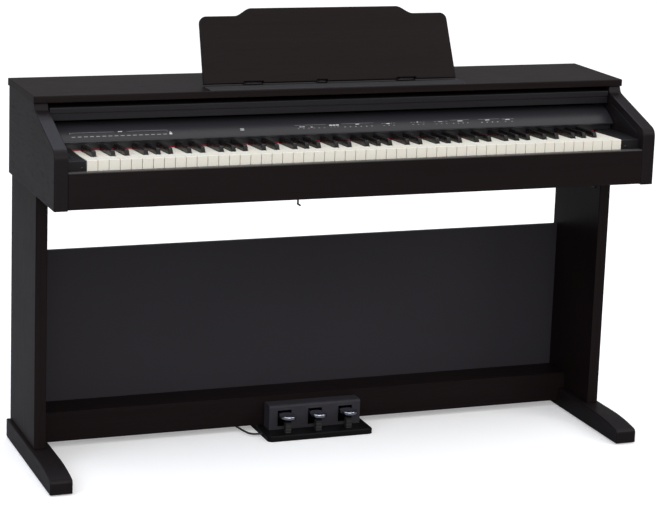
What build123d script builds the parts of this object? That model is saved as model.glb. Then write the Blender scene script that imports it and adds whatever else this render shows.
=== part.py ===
"""Digital piano on a stand: cabinet, keyboard, key cover, music rest, stand and pedal unit.

Units are millimetres. X runs along the keyboard, +Y points to the back, +Z up.
The origin is on the floor, at the middle of the width and of the depth.
Heights are measured from the floor, and depths from the front plane of the side panels.
"""
from build123d import *
from math import cos, pi, radians, sin, tan
import os

# Overall sizes
overall_width = 1378.0
overall_depth = 410.0
top_height = 819.0
rest_rise = 160.0
overall_height = top_height + rest_rise

# Boards of the cabinet
top_thickness = 16.0
top_front = 171.0
top_overhang = 2.0
side_thickness = 30.0
side_bottom = 609.0
cheek_top = 733.0
cheek_corner_radius = 14.0
neck_height = 789.0
neck_lead = 1.0
neck_step = 5.0
side_bevel = 4.0
side_lip = 1.0
rail_front = 0.5
rail_thickness = 15.0
rail_bottom = 611.0
rail_top = 686.5
trim_thickness = 2.0
trim_set_back = 1.5
bottom_thickness = 15.0
back_board_front = 398.0
back_board_thickness = 7.0
board_gap = 0.3

# Keyboard
white_count = 52
key_pitch = 23.6
key_gap = 1.0
key_front = 20.0
key_front_height = 710.0
key_slope = 2.6
key_visible_length = 132.0
key_body_height = 24.0
key_neck = 4.0
key_chin = 6.0
key_notch_lead = 1.0
key_notch_overrun = 9.0
key_step = 7.0
key_stick_height = 11.0
key_pivot_depth = 235.0
key_pivot_height = 690.0
key_pivot_radius = 3.0
running_clearance = 0.06
key_tail = 9.0
black_width = 10.5
black_rise = 12.0
black_front = 62.0
black_lead = 5.0
black_shift = 3.2
slot_clearance = 1.1
middle_octave_start = 23

# Keyboard surroundings
felt_thickness = 3.0
felt_height = 6.5
felt_sink = 4.0
drop_gap = 1.5
frame_plate = 4.0
frame_side_gap = 2.0
frame_front_inset = 20.0
frame_wall_half = 10.0
frame_wall_rise = 8.0
frame_wall = 4.0
hammer_set_back = 110.0
hammer_length = 120.0
hammer_width = 8.0
hammer_height = 12.0
block_drop = 1.0
block_round = 2.0
button_round = 0.6
block_gap = 2.0
button_radius = 4.5
button_height = 4.0
button_well = 7.0
button_proud = 1.5
button_clearance = 0.3
button_depths = (58.0, 84.0, 110.0)

# Control panel
lip_depth = 140.5
lip_height = 723.5
panel_rear_depth = 200.0
panel_rear_height = 757.0
lip_round = 2.0
lip_half = 3.0
lip_inner_depth = 7.5
lip_inner_rise = 2.0
panel_bulge = 29.5
panel_inner_bulge = 31.0
panel_bulge_rise = 21.0
panel_wall = 3.0
panel_side_gap = 2.0

# Sliding key cover
cover_side_gap = 2.5
cover_front = 171.0
cover_top = 793.0
cover_board_thickness = 12.0
cover_groove_drop = 14.5
cover_groove_width = 2.5
cover_groove_depth = 2.4
cover_lower_step = 1.2
cover_bevel = 1.5
knuckle_drop = 6.0
cover_rail_height = 28.0
cover_rail_thickness = 8.0
cover_tail = 8.0
axle_depth = 383.0
axle_height = 767.0
axle_radius = 4.0
gear_module = 1.5
tooth_root_half = 0.32
tooth_tip_half = 0.12
rack_root_half = 0.31
rack_tip_half = 0.11
rack_lead_teeth = 3
shaft_end_gap = 2.0
gear_teeth = 16
pinion_width = 8.0
rack_width = 12.0
rack_length = 195.0
rack_body = 8.0
ledge_width = 15.0
ledge_drop = 3.0
bearing_width = 8.0
bearing_length = 18.0
bearing_headroom = 4.0
knuckle_width = 12.0
knuckle_places = (-560.0, 0.0, 560.0)

# Music rest
rest_bottom_width = 597.0
rest_top_width = 586.0
rest_shoulder_drop = 17.0
rest_crown_half = 172.6
rest_curve_half = 212.0
rest_corner_radius = 12.0
rest_thickness = 9.0
rest_lean = 23.5
rest_depth = 232.0
rest_lift = 5.0
rest_ledge_width = 604.0
rest_ledge_front = 176.0
rest_ledge_gap = 4.0
rest_rib_depths = (4.0, 16.0, 22.0)
rest_rib_width = 2.0
rest_rib_height = 1.5
rest_rib_inset = 4.0
rest_ledge_height = 1.2
hinge_places = (-181.0, -20.0, 181.0)
hinge_widths = (45.0, 25.0, 45.0)
hinge_ear_margin = 0.1
hinge_ear_rise = 0.5
hinge_ear_back = 4.0
hinge_foot_depth = 16.0
hinge_leaf_length = 18.0
hinge_eye_gap = 0.5
hinge_pin_radius = 1.5
hinge_leaf = 1.0
hinge_set_back = 3.0
hinge_rise = 4.0
hinge_ear = 4.0

# Stand
leg_inset = 7.0
leg_thickness = 26.0
leg_front = 180.0
leg_back = 406.0
foot_inset = 1.0
foot_width = 49.0
foot_front = 3.0
foot_height = 44.0
foot_nose_start = 110.0
foot_nose_height = 33.0
foot_nose_radius = 16.0
pad_front = 40.0
pad_rear = 30.0
pad_height = 2.0
pad_radius = 12.0
rear_panel_front = 386.0
rear_panel_lift = 44.0
rear_panel_thickness = 10.0
rear_panel_top = 433.0
beam_front = 303.0
beam_thickness = 15.0
beam_bottom = 16.0
beam_top = 84.0
bracket_thickness = 2.5
bracket_flange = 52.0
bracket_front = 205.0
bracket_back = 335.0
screw_radius = 2.0
screw_head_radius = 4.5
screw_head_height = 2.5
screw_length = 12.0
screw_inset = 20.0

# Pedal unit
base_width = 255.0
base_front = 221.0
base_back = 355.0
base_thickness = 13.0
base_corner = 12.0
pedal_box_width = 222.0
pedal_box_front = 268.0
pedal_box_back = 350.0
pedal_box_top = 70.0
pedal_box_wall = 3.0
pedal_pitch = 74.0
pedal_width = 28.0
pedal_tip_width = 36.5
pedal_flare_start = 272.0
pedal_tip = 225.0
pedal_top = 55.0
pedal_skirt = 8.5
pedal_wall = 2.0
pedal_top_wall = 3.0
pedal_hollow = 50.0
pedal_heel = 8.0
pedal_round = 1.2
pedal_box_round = 6.0
pedal_pivot_depth = 330.0
pedal_pivot_height = 50.8
pedal_pivot_radius = 2.5
pedal_slot_gap = 3.0
pedal_slot_low = 20.0
post_size = 14.0
post_depth = 246.0
post_top = 36.0

# Pedal cable, from the base plate to the underside of the cabinet
cable_diameter = 4.5
clip_bore = 4.5
clip_wall = 1.6
clip_length = 8.0
clip_runs = (10, 12, 14, 16)

# Sockets, hook and electronics
jack_radius = 3.2
jack_depth = 24.0
jack_spacing = 22.0
jack_box_size = (62.0, 40.0, 20.0)
jack_box_place = (-575.0, 112.0)
hook_place = (-150.0, 24.0)
hook_radius = 2.0
hook_drop = 14.0
hook_reach = 16.0
jack_box_round = 3.0
inlet_place = (330.0, 650.0)
inlet_plate_size = (84.0, 36.0)
inlet_plate_thickness = 2.0
inlet_rebate = 7.0
inlet_offset = 18.0
inlet_body = 14.0
inlet_body_depth = 10.0
inlet_depth = 9.0
inlet_radius = 2.8
speaker_place = (470.0, 318.0)
speaker_radius = 58.0
speaker_rim = 10.0
speaker_flange = 3.0
speaker_basket_inset = 6.0
magnet_radius = 34.8
magnet_height = 16.0
speaker_opening = 76.0
speaker_height = 46.0
circuit_size = (300.0, 110.0, 1.6)
circuit_place = (0.0, 322.0)
circuit_lift = 8.0
spacer_inset = 10.0
spacer_radius = 3.0
chip_size = 16.0
chip_height = 4.0
chip_spacing = (60.0, 40.0)


def behind(distance):
    """Y of a place this far behind the front plane of the side panels."""
    return distance - overall_depth / 2


# Sizes that follow from the ones above
side_outer = overall_width / 2 - top_overhang
side_back = back_board_front + back_board_thickness + side_lip
side_inner = side_outer - side_thickness
top_underside = top_height - top_thickness
bottom_top = rail_bottom + bottom_thickness
key_span = white_count * key_pitch
key_rear = key_front + key_visible_length
key_rear_height = key_front_height - key_visible_length * tan(radians(key_slope))
key_bottom = key_pivot_height - key_stick_height / 2
key_end = key_pivot_depth + key_tail
stick_top = key_pivot_height + key_stick_height / 2
pitch_radius = gear_module * gear_teeth / 2
tooth_height = 0.8 * gear_module
tooth_root = 1.15 * gear_module
tooth_pitch = pi * gear_module
rack_line = axle_height - pitch_radius
rack_bottom = rack_line - tooth_root - rack_body
rack_outer = side_inner - board_gap
rack_inner = rack_outer - rack_width
cover_half = side_inner - cover_side_gap
cover_underside = cover_top - cover_board_thickness
leg_outer_half = side_outer - leg_inset
leg_inner = leg_outer_half - leg_thickness
foot_outer_half = overall_width / 2 - foot_inset
foot_inner = foot_outer_half - foot_width
rest_bottom = top_height + rest_lift
rest_length = (overall_height - rest_bottom) / cos(radians(rest_lean))
knuckle_half = 10.0

os.makedirs("parts", exist_ok=True)


def save(shape, name):
    """Label one finished piece and write it."""
    shape.label = name
    export_step(shape, f"parts/{name}.step")


def plate(low, high):
    """A square-edged board between two corners, each (x, depth, height)."""
    size = [high[axis] - low[axis] for axis in range(3)]
    middle = [(high[axis] + low[axis]) / 2 for axis in range(3)]
    with BuildPart() as board:
        with Locations((middle[0], behind(middle[1]), middle[2])):
            Box(*size)
    return board.part


def across(outline, start, width):
    """Extrude a (depth, height) outline along X from start; the outline's depths are from the front."""
    points = [(behind(depth), height) for depth, height in outline]
    with BuildPart() as bar:
        with BuildSketch(Plane.YZ.offset(start)):
            with BuildLine():
                Polyline(*points, close=True)
            make_face()
        extrude(amount=width)
    return bar.part


# ---------------------------------------------------------------- cabinet

def side_panel(start):
    """Side panel with the sloping cheek, its rounded corner and the neck under the top."""
    with BuildPart() as panel:
        with BuildSketch(Plane.YZ.offset(start)) as outline:
            with BuildLine():
                Polyline(
                    (behind(0), side_bottom),
                    (behind(0), cheek_top),
                    (behind(top_front - neck_lead), neck_height),
                    (behind(top_front + neck_step), top_underside),
                    (behind(side_back), top_underside),
                    (behind(side_back), side_bottom + side_bevel),
                    (behind(side_back - side_bevel), side_bottom),
                    close=True,
                )
            make_face()
            corner = outline.vertices().sort_by(Axis.X)[:2].sort_by(Axis.Y)[-1]
            fillet(corner, cheek_corner_radius)
        extrude(amount=side_thickness)
        front_edges = panel.edges().filter_by(Axis.Z).group_by(Axis.Y)[0]
        fillet(front_edges, 2)
    return panel.part


def top_panel():
    """Top board that overhangs both side panels."""
    with BuildPart() as panel:
        with Locations((0, behind((top_front + overall_depth) / 2), top_height - top_thickness / 2)):
            Box(overall_width, overall_depth - top_front, top_thickness)
        fillet(panel.edges().filter_by(Axis.X).group_by(Axis.Y)[0], 2)
        fillet(panel.edges().filter_by(Axis.Y).group_by(Axis.Z)[-1], 1.5)
    return panel.part


def front_rail():
    """Rail in front of the keys, between the side panels."""
    with BuildPart() as rail:
        with Locations((0, behind(rail_front + rail_thickness / 2), (rail_bottom + rail_top) / 2)):
            Box(2 * side_inner, rail_thickness, rail_top - rail_bottom)
        fillet(rail.edges().filter_by(Axis.X).group_by(Axis.Y)[0].sort_by(Axis.Z)[-1], 2)
    return rail.part


def bottom_board():
    """Cabinet floor: front and rear boards, and three short ones that leave the speaker openings."""
    half = speaker_opening / 2
    front = rail_front + rail_thickness
    middle_front = speaker_place[1] - half
    middle_back = speaker_place[1] + half
    inner = speaker_place[0] - half
    outer = speaker_place[0] + half
    boards = (
        (-side_inner, front, side_inner, middle_front - board_gap),
        (-side_inner, middle_back + board_gap, side_inner, back_board_front),
        (-side_inner, middle_front, -outer, middle_back),
        (-inner, middle_front, inner, middle_back),
        (outer, middle_front, side_inner, middle_back),
    )
    with BuildPart() as floor:
        for left, near, right, far in boards:
            add(plate((left, near, rail_bottom), (right, far, bottom_top)))
        with Locations(*[(x, y, rail_bottom) for x, y in bracket_screw_spots()]):
            Cylinder(screw_radius + running_clearance, 2 * screw_length, mode=Mode.SUBTRACT)
    return floor.part


def bracket_screw_spots():
    """(x, y) of the screws that hold the brackets up against the cabinet floor."""
    depths = (bracket_front + screw_inset, bracket_back - screw_inset)
    x = leg_inner - bracket_flange / 2
    return [(side * x, behind(depth)) for side in (-1, 1) for depth in depths]


def back_board():
    """Thin back board with the opening behind the socket plate."""
    x, z = inlet_place
    with BuildPart() as board:
        with Locations((0, behind(back_board_front + back_board_thickness / 2),
                        (rail_bottom + top_underside) / 2)):
            Box(2 * side_inner, back_board_thickness, top_underside - rail_bottom)
        with Locations((x, behind(back_board_front + back_board_thickness / 2), z)):
            Box(inlet_plate_size[0] - 2 * inlet_rebate, 2 * back_board_thickness,
                inlet_plate_size[1] - 2 * inlet_rebate, mode=Mode.SUBTRACT)
    return board.part


def rear_socket_plate():
    """Plate on the back with the power inlet."""
    x, z = inlet_place
    face = behind(back_board_front + back_board_thickness)
    with BuildPart() as socket:
        with Locations((x, face + inlet_plate_thickness / 2, z)):
            Box(inlet_plate_size[0], inlet_plate_thickness, inlet_plate_size[1])
        with Locations((x - inlet_offset, face - inlet_body_depth / 2, z)):
            Box(inlet_body, inlet_body_depth, inlet_body)
        with BuildSketch(Plane.XZ.offset(-face - inlet_plate_thickness)):
            with Locations((x - inlet_offset, z)):
                Circle(inlet_radius)
        extrude(amount=inlet_depth, mode=Mode.SUBTRACT)
    return socket.part


def control_panel():
    """Curved shell above the keys: rounded lip, convex top and the drop face behind the lip."""
    drop_front = key_rear + drop_gap
    drop_low = key_rear_height - felt_sink + felt_height
    with BuildPart() as shell:
        with BuildSketch(Plane.YZ.offset(-side_inner + panel_side_gap)):
            with BuildLine():
                lip_top = (behind(lip_depth + lip_round), lip_height + lip_half)
                lip_low = (behind(lip_depth + lip_round), lip_height - lip_half)
                ThreePointArc(lip_low, (behind(lip_depth), lip_height), lip_top)
                outer_middle = (behind(lip_depth + panel_bulge), lip_height + panel_bulge_rise)
                rear = (behind(panel_rear_depth), panel_rear_height)
                ThreePointArc(lip_top, outer_middle, rear)
                rear_inner = (behind(panel_rear_depth), panel_rear_height - panel_wall)
                Line(rear, rear_inner)
                inner_middle = (behind(lip_depth + panel_inner_bulge), lip_height + panel_bulge_rise - panel_wall)
                inner_lip = (behind(lip_depth + lip_inner_depth), lip_height + lip_inner_rise)
                ThreePointArc(rear_inner, inner_middle, inner_lip)
                Polyline(
                    inner_lip,
                    (behind(drop_front + panel_wall), lip_low[1] + panel_wall),
                    (behind(drop_front + panel_wall), drop_low),
                    (behind(drop_front), drop_low),
                    (behind(drop_front), lip_low[1]),
                    lip_low,
                )
            make_face()
        extrude(amount=2 * (side_inner - panel_side_gap))
    return shell.part


def key_end_block(side):
    """Black block that fills the space between the last key and the side panel."""
    low = key_span / 2 + block_gap
    high = side_inner - board_gap
    top = key_front_height - block_drop
    seat = bottom_top + frame_plate
    with BuildPart() as block:
        with Locations((side * (low + high) / 2, behind((key_front + key_rear) / 2), (seat + top) / 2)):
            Box(high - low, key_rear - key_front, top - seat)
        fillet(block.edges().filter_by(Axis.X).group_by(Axis.Y)[0].sort_by(Axis.Z)[-1], block_round)
        if side < 0:
            with Locations(*[(button_x(), behind(depth), top) for depth in button_depths]):
                Cylinder(button_radius + button_clearance, 2 * button_well, mode=Mode.SUBTRACT)
    return block.part


def button_x():
    """X of the row of buttons on the left end block."""
    return -(key_span / 2 + block_gap + side_inner - board_gap) / 2


def button(depth):
    """Round button standing a little proud of the left end block."""
    top = key_front_height - block_drop + button_proud
    with BuildPart() as cap:
        with Locations((button_x(), behind(depth), top - button_height / 2)):
            Cylinder(button_radius, button_height)
        fillet(cap.edges().sort_by(Axis.Z)[-1], button_round)
    return cap.part


# ---------------------------------------------------------------- keys

white_names = "ABCDEFG"
black_offsets = {"A": black_shift, "C": -black_shift, "D": black_shift, "F": -black_shift, "G": 0.0}
octave_letters = ("c", "d", "e", "f", "g", "a", "b")


def letter_of(index):
    """Letter of a white key, counted from the left end."""
    return white_names[index % len(white_names)]


def white_left(index):
    """X of the left edge of a white key's pitch."""
    return -key_span / 2 + index * key_pitch


def black_centre(index):
    """X of the black key to the right of a white key."""
    return white_left(index) + key_pitch + black_offsets[letter_of(index)]


def has_black(index):
    """True where a black key stands to the right of this white key."""
    return 0 <= index < white_count - 1 and letter_of(index) in black_offsets


def white_key(index):
    """White key: wide head, notched tail beside the black keys, and the stick back to the pivot."""
    width = key_pitch - key_gap
    left = white_left(index) + key_gap / 2
    outline = [
        (key_front, key_front_height),
        (key_rear, key_rear_height),
        (key_rear, key_rear_height - key_step),
        (key_rear + key_neck, stick_top),
        (key_end, stick_top),
        (key_end, key_bottom),
        (key_front + key_chin, key_bottom),
        (key_front, key_front_height - key_body_height),
    ]
    notch = black_width / 2 + slot_clearance
    notch_front = black_front - key_notch_lead
    notch_back = key_end + key_notch_overrun
    with BuildPart() as key:
        add(across(outline, left, width))
        for neighbour in (index - 1, index):
            if has_black(neighbour):
                with Locations((black_centre(neighbour), behind((notch_front + notch_back) / 2),
                                key_pivot_height)):
                    Box(2 * notch, notch_back - notch_front, 4 * key_body_height, mode=Mode.SUBTRACT)
        add(key_bore(left, width), mode=Mode.SUBTRACT)
    return key.part


def key_bore(start, width):
    """Cylinder that opens the pivot bore of one key."""
    with BuildPart() as bore:
        with BuildSketch(Plane.YZ.offset(start - 1)):
            with Locations((behind(key_pivot_depth), key_pivot_height)):
                Circle(key_pivot_radius + running_clearance)
        extrude(amount=width + 2)
    return bore.part


def black_key(index):
    """Black key: raised top with a sloping front, on a stick back to the pivot."""
    left = black_centre(index) - black_width / 2
    lift = (black_front - key_front) * tan(radians(key_slope))
    front_top = key_front_height - lift + black_rise
    outline = [
        (black_front, key_bottom),
        (black_front, key_front_height - lift),
        (black_front + black_lead, front_top),
        (key_rear, key_rear_height + black_rise),
        (key_rear, key_rear_height - key_step),
        (key_rear + key_neck, stick_top),
        (key_end, stick_top),
        (key_end, key_bottom),
    ]
    with BuildPart() as key:
        add(across(outline, left, black_width))
        long_edges = key.edges().filter_by(lambda edge: edge.length > 60 and edge.center().Z > key_front_height)
        chamfer(long_edges, 0.8)
        add(key_bore(left, black_width), mode=Mode.SUBTRACT)
    return key.part


def key_group(keys):
    """Several separate keys in one piece file."""
    with BuildPart() as group:
        add(keys)
    return group.part


def key_frame():
    """Key frame: base plate, two end walls and the pivot rail that all the keys turn on."""
    half = key_span / 2 + frame_side_gap
    plate_front = key_front + frame_front_inset
    wall_front = key_pivot_depth - frame_wall_half
    wall_back = key_pivot_depth + frame_wall_half
    wall_top = key_pivot_height + frame_wall_rise
    with BuildPart() as frame:
        with Locations((0, behind((plate_front + wall_back) / 2), bottom_top + frame_plate / 2)):
            Box(2 * (half + frame_wall), wall_back - plate_front, frame_plate)
        for side in (-1, 1):
            with Locations((side * (half + frame_wall / 2), behind(key_pivot_depth),
                            (bottom_top + wall_top) / 2)):
                Box(frame_wall, wall_back - wall_front, wall_top - bottom_top)
        with BuildSketch(Plane.YZ.offset(-half)):
            with Locations((behind(key_pivot_depth), key_pivot_height)):
                Circle(key_pivot_radius)
        extrude(amount=2 * half)
    return frame.part


def hammer_weights():
    """Steel weights of the hammer action, one for each key, resting on the key frame."""
    count = white_count + sum(has_black(index) for index in range(white_count))
    spacing = key_span / count
    low = bottom_top + frame_plate
    with BuildPart() as weights:
        with Locations((0, behind(key_front + hammer_set_back), low + hammer_height / 2)):
            with GridLocations(spacing, 1, count, 1):
                Box(hammer_width, hammer_length, hammer_height)
    return weights.part


# ---------------------------------------------------------------- electronics

def speakers():
    """Two drivers that face down through the cabinet floor."""
    with BuildPart() as drivers:
        for side in (-1, 1):
            spot = (side * speaker_place[0], behind(speaker_place[1]))
            magnet_bottom = bottom_top + speaker_height - magnet_height
            with BuildSketch(Plane.XY.offset(bottom_top)):
                with Locations(spot):
                    Circle(speaker_radius)
                    Circle(speaker_radius - speaker_rim, mode=Mode.SUBTRACT)
            extrude(amount=speaker_flange)
            with BuildSketch(Plane.XY.offset(bottom_top + speaker_flange)):
                with Locations(spot):
                    Circle(speaker_radius - speaker_basket_inset)
            with BuildSketch(Plane.XY.offset(magnet_bottom)):
                with Locations(spot):
                    Circle(speaker_radius / 2)
            loft()
            with BuildSketch(Plane.XY.offset(magnet_bottom)):
                with Locations(spot):
                    Circle(magnet_radius)
            extrude(amount=magnet_height)
    return drivers.part


def circuit_board():
    """Main circuit board on four spacers, with its larger parts."""
    width, depth, thickness = circuit_size
    x, distance = circuit_place
    lift = circuit_lift
    with BuildPart() as board:
        with Locations((x, behind(distance), bottom_top + lift + thickness / 2)):
            Box(width, depth, thickness)
        with Locations((x, behind(distance), bottom_top + lift / 2)):
            with GridLocations(width - 2 * spacer_inset, depth - 2 * spacer_inset, 2, 2):
                Cylinder(spacer_radius, lift)
        with Locations((x, behind(distance), bottom_top + lift + thickness + chip_height / 2)):
            with GridLocations(*chip_spacing, 4, 2):
                Box(chip_size, chip_size, chip_height)
    return board.part


def jack_box():
    """Headphone box under the left end of the cabinet, with two jack bores facing the player."""
    width, depth, height = jack_box_size
    x, distance = jack_box_place
    with BuildPart() as box:
        with Locations((x, behind(distance + depth / 2), rail_bottom - height / 2)):
            Box(width, depth, height)
        fillet(box.edges().filter_by(Axis.Y).group_by(Axis.Z)[0], jack_box_round)
        with BuildSketch(Plane.XZ.offset(-behind(distance))):
            with Locations((x, rail_bottom - height / 2)):
                with GridLocations(jack_spacing, 1, 2, 1):
                    Circle(jack_radius)
        extrude(amount=-jack_depth, mode=Mode.SUBTRACT)
    return box.part


def headphone_hook():
    """Small bent pin under the cabinet floor for a pair of headphones."""
    x, distance = hook_place
    with BuildPart() as hook:
        with Locations((x, behind(distance), rail_bottom - hook_drop / 2)):
            Cylinder(hook_radius, hook_drop)
        with Locations((x, behind(distance) - hook_reach / 2 + hook_radius, rail_bottom - hook_drop)):
            Cylinder(hook_radius, hook_reach, rotation=(90, 0, 0))
    return hook.part


# ---------------------------------------------------------------- key cover

def pinion_outline():
    """Corner points of the pinion, one tooth pointing straight down."""
    root_radius = pitch_radius - tooth_root
    tip_radius = pitch_radius + tooth_height
    root_half = tooth_root_half * tooth_pitch
    tip_half = tooth_tip_half * tooth_pitch
    points = []
    for tooth in range(gear_teeth):
        middle = -pi / 2 + tooth * 2 * pi / gear_teeth
        for radius, offset in ((root_radius, -root_half), (tip_radius, -tip_half),
                               (tip_radius, tip_half), (root_radius, root_half)):
            angle = middle + offset / radius
            points.append((behind(axle_depth) + radius * cos(angle), axle_height + radius * sin(angle)))
    return points


def cover_shaft():
    """Shaft with a pinion at each end, which keeps both ends of the cover level."""
    end = rack_outer - shaft_end_gap
    with BuildPart() as shaft:
        for start in (-end, end - pinion_width):
            with BuildSketch(Plane.YZ.offset(start)):
                with BuildLine():
                    Polyline(*pinion_outline(), close=True)
                make_face()
            extrude(amount=pinion_width)
        with BuildSketch(Plane.YZ.offset(-end)):
            with Locations((behind(axle_depth), axle_height)):
                Circle(axle_radius)
        extrude(amount=2 * end)
    return shaft.part


def cover_rack(side):
    """Toothed rack on the side panel, with the smooth ledge that the bearing block slides on."""
    count = int(rack_length / tooth_pitch)
    front = axle_depth + (rack_lead_teeth - count) * tooth_pitch
    root = rack_line - tooth_root
    points = [(behind(front), rack_bottom)]
    for tooth in range(count):
        middle = behind(front + (tooth + 0.5) * tooth_pitch)
        points.append((middle - rack_root_half * tooth_pitch, root))
        points.append((middle - rack_tip_half * tooth_pitch, rack_line + tooth_height))
        points.append((middle + rack_tip_half * tooth_pitch, rack_line + tooth_height))
        points.append((middle + rack_root_half * tooth_pitch, root))
    end = behind(front + count * tooth_pitch)
    points.insert(1, (behind(front), root))
    points.append((end, root))
    points.append((end, rack_bottom))
    start = rack_inner if side > 0 else -rack_outer
    with BuildPart() as rack:
        with BuildSketch(Plane.YZ.offset(start)):
            with BuildLine():
                Polyline(*points, close=True)
            make_face()
        extrude(amount=rack_width)
        middle_y = (behind(front) + end) / 2
        ledge_height = root - ledge_drop - rack_bottom
        with Locations((side * (rack_inner - ledge_width / 2), middle_y, rack_bottom + ledge_height / 2)):
            Box(ledge_width, end - behind(front), ledge_height)
    return rack.part


def cover_bearing(side):
    """Block that slides on the ledge and carries one end of the shaft."""
    low = rack_line - tooth_root - ledge_drop + board_gap
    high = cover_underside - bearing_headroom
    x = side * (rack_inner - ledge_width / 2)
    with BuildPart() as block:
        with Locations((x, behind(axle_depth), (low + high) / 2)):
            Box(bearing_width, bearing_length, high - low)
        add(shaft_bore(x - bearing_width, 2 * bearing_width), mode=Mode.SUBTRACT)
    return block.part


def shaft_bore(start, width):
    """Cylinder that opens a running bore for the cover's shaft."""
    with BuildPart() as bore:
        with BuildSketch(Plane.YZ.offset(start)):
            with Locations((behind(axle_depth), axle_height)):
                Circle(axle_radius + running_clearance)
        extrude(amount=width)
    return bore.part


def key_cover():
    """Sliding cover: front rail with a groove, flat board, and knuckles that hang on the shaft."""
    rail_low = cover_top - cover_rail_height
    rail_back = cover_front + cover_rail_thickness
    groove = cover_top - cover_groove_drop
    knuckle_low = axle_height - knuckle_drop
    outline = [
        (cover_front, cover_top - cover_bevel),
        (cover_front + cover_bevel, cover_top),
        (axle_depth + cover_tail, cover_top),
        (axle_depth + cover_tail, cover_underside),
        (rail_back, cover_underside),
        (rail_back, rail_low),
        (cover_front + cover_lower_step, rail_low),
        (cover_front + cover_lower_step, groove),
        (cover_front + cover_groove_depth, groove),
        (cover_front + cover_groove_depth, groove + cover_groove_width),
        (cover_front, groove + cover_groove_width),
    ]
    with BuildPart() as cover:
        add(across(outline, -cover_half, 2 * cover_half))
        for place in knuckle_places:
            with Locations((place, behind(axle_depth), (knuckle_low + cover_underside) / 2)):
                Box(knuckle_width, 2 * knuckle_half, cover_underside - knuckle_low)
            add(shaft_bore(place - knuckle_width, 2 * knuckle_width), mode=Mode.SUBTRACT)
    return cover.part


# ---------------------------------------------------------------- music rest

def rest_plane():
    """Plane of the rest's front face: X along the width, Y up the leaning board."""
    lean = radians(rest_lean)
    return Plane(origin=(0, behind(rest_depth), rest_bottom), x_dir=(1, 0, 0),
                 z_dir=(0, -cos(lean), sin(lean)))


def music_rest_board():
    """Leaning board with a raised crown between two rounded shoulders."""
    shoulder = rest_length - rest_shoulder_drop
    half_bottom = rest_bottom_width / 2
    half_top = rest_top_width / 2
    middle = (rest_crown_half + rest_curve_half) / 2
    with BuildPart() as board:
        with BuildSketch(rest_plane()) as outline:
            with BuildLine():
                for side in (-1, 1):
                    Line((0, 0), (side * half_bottom, 0))
                    Line((side * half_bottom, 0), (side * half_top, shoulder))
                    Line((side * half_top, shoulder), (side * rest_curve_half, shoulder))
                    Spline((side * rest_curve_half, shoulder),
                           (side * middle, shoulder + rest_shoulder_drop / 2),
                           (side * rest_crown_half, rest_length),
                           tangents=((-side, 0), (-side, 0)))
                    Line((side * rest_crown_half, rest_length), (0, rest_length))
            make_face()
            corners = [vertex for vertex in outline.vertices()
                       if abs(abs(vertex.X) - half_top) < 1]
            fillet(corners, rest_corner_radius)
        extrude(amount=-rest_thickness)
    return board.part


def music_rest_ledge():
    """Low ledge with ribs that the pages stand on."""
    depth = rest_depth - rest_ledge_gap - rest_ledge_front
    with BuildPart() as ledge:
        with Locations((0, behind(rest_ledge_front + depth / 2), top_height + rest_ledge_height / 2)):
            Box(rest_ledge_width, depth, rest_ledge_height)
        rib_middle = top_height + rest_ledge_height + rest_rib_height / 2
        for offset in rest_rib_depths:
            with Locations((0, behind(rest_ledge_front + offset), rib_middle)):
                Box(rest_ledge_width - 2 * rest_rib_inset, rest_rib_width, rest_rib_height)
    return ledge.part


def hinge_pin_place():
    """(y, z) of the hinge pins: just behind the back face of the rest, near its lower edge."""
    lean = radians(rest_lean)
    back = rest_thickness + hinge_set_back
    y = behind(rest_depth) + hinge_rise * sin(lean) + back * cos(lean)
    z = rest_bottom + hinge_rise * cos(lean) - back * sin(lean)
    return y, z


def rest_hinge_bases():
    """Three hinge bases: a foot on the top panel, two ears and the pin that the leaf turns on."""
    pin_y, pin_z = hinge_pin_place()
    ear_front = pin_y - hinge_pin_radius - hinge_ear_margin
    ear_back = pin_y + hinge_ear_back
    ear_top = pin_z + hinge_pin_radius + hinge_ear_rise
    with BuildPart() as bases:
        for place, width in zip(hinge_places, hinge_widths):
            with Locations((place, ear_front + hinge_foot_depth / 2, top_height + hinge_leaf / 2)):
                Box(width, hinge_foot_depth, hinge_leaf)
            for side in (-1, 1):
                with Locations((place + side * (width - hinge_ear) / 2, (ear_front + ear_back) / 2,
                                (top_height + ear_top) / 2)):
                    Box(hinge_ear, ear_back - ear_front, ear_top - top_height)
            with BuildSketch(Plane.YZ.offset(place - width / 2)):
                with Locations((pin_y, pin_z)):
                    Circle(hinge_pin_radius)
            extrude(amount=width)
    return bases.part


def rest_hinge_leaves():
    """Three leaves with a rolled eye around the pin, flat against the back of the rest."""
    pin_y, pin_z = hinge_pin_place()
    with BuildPart() as leaves:
        for place, width in zip(hinge_places, hinge_widths):
            eye = width - 2 * hinge_ear - 2 * hinge_eye_gap
            with BuildSketch(Plane.YZ.offset(place - eye / 2)):
                with Locations((pin_y, pin_z)):
                    Circle(hinge_pin_radius + hinge_leaf)
            extrude(amount=eye)
            with BuildSketch(rest_plane().offset(-rest_thickness)):
                with Locations((place, hinge_leaf_length / 2)):
                    Rectangle(eye, hinge_leaf_length)
            extrude(amount=-hinge_leaf)
            with BuildSketch(Plane.YZ.offset(place - eye / 2 - hinge_eye_gap)):
                with Locations((pin_y, pin_z)):
                    Circle(hinge_pin_radius + running_clearance)
            extrude(amount=eye + 2 * hinge_eye_gap, mode=Mode.SUBTRACT)
    return leaves.part


# ---------------------------------------------------------------- stand

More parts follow.
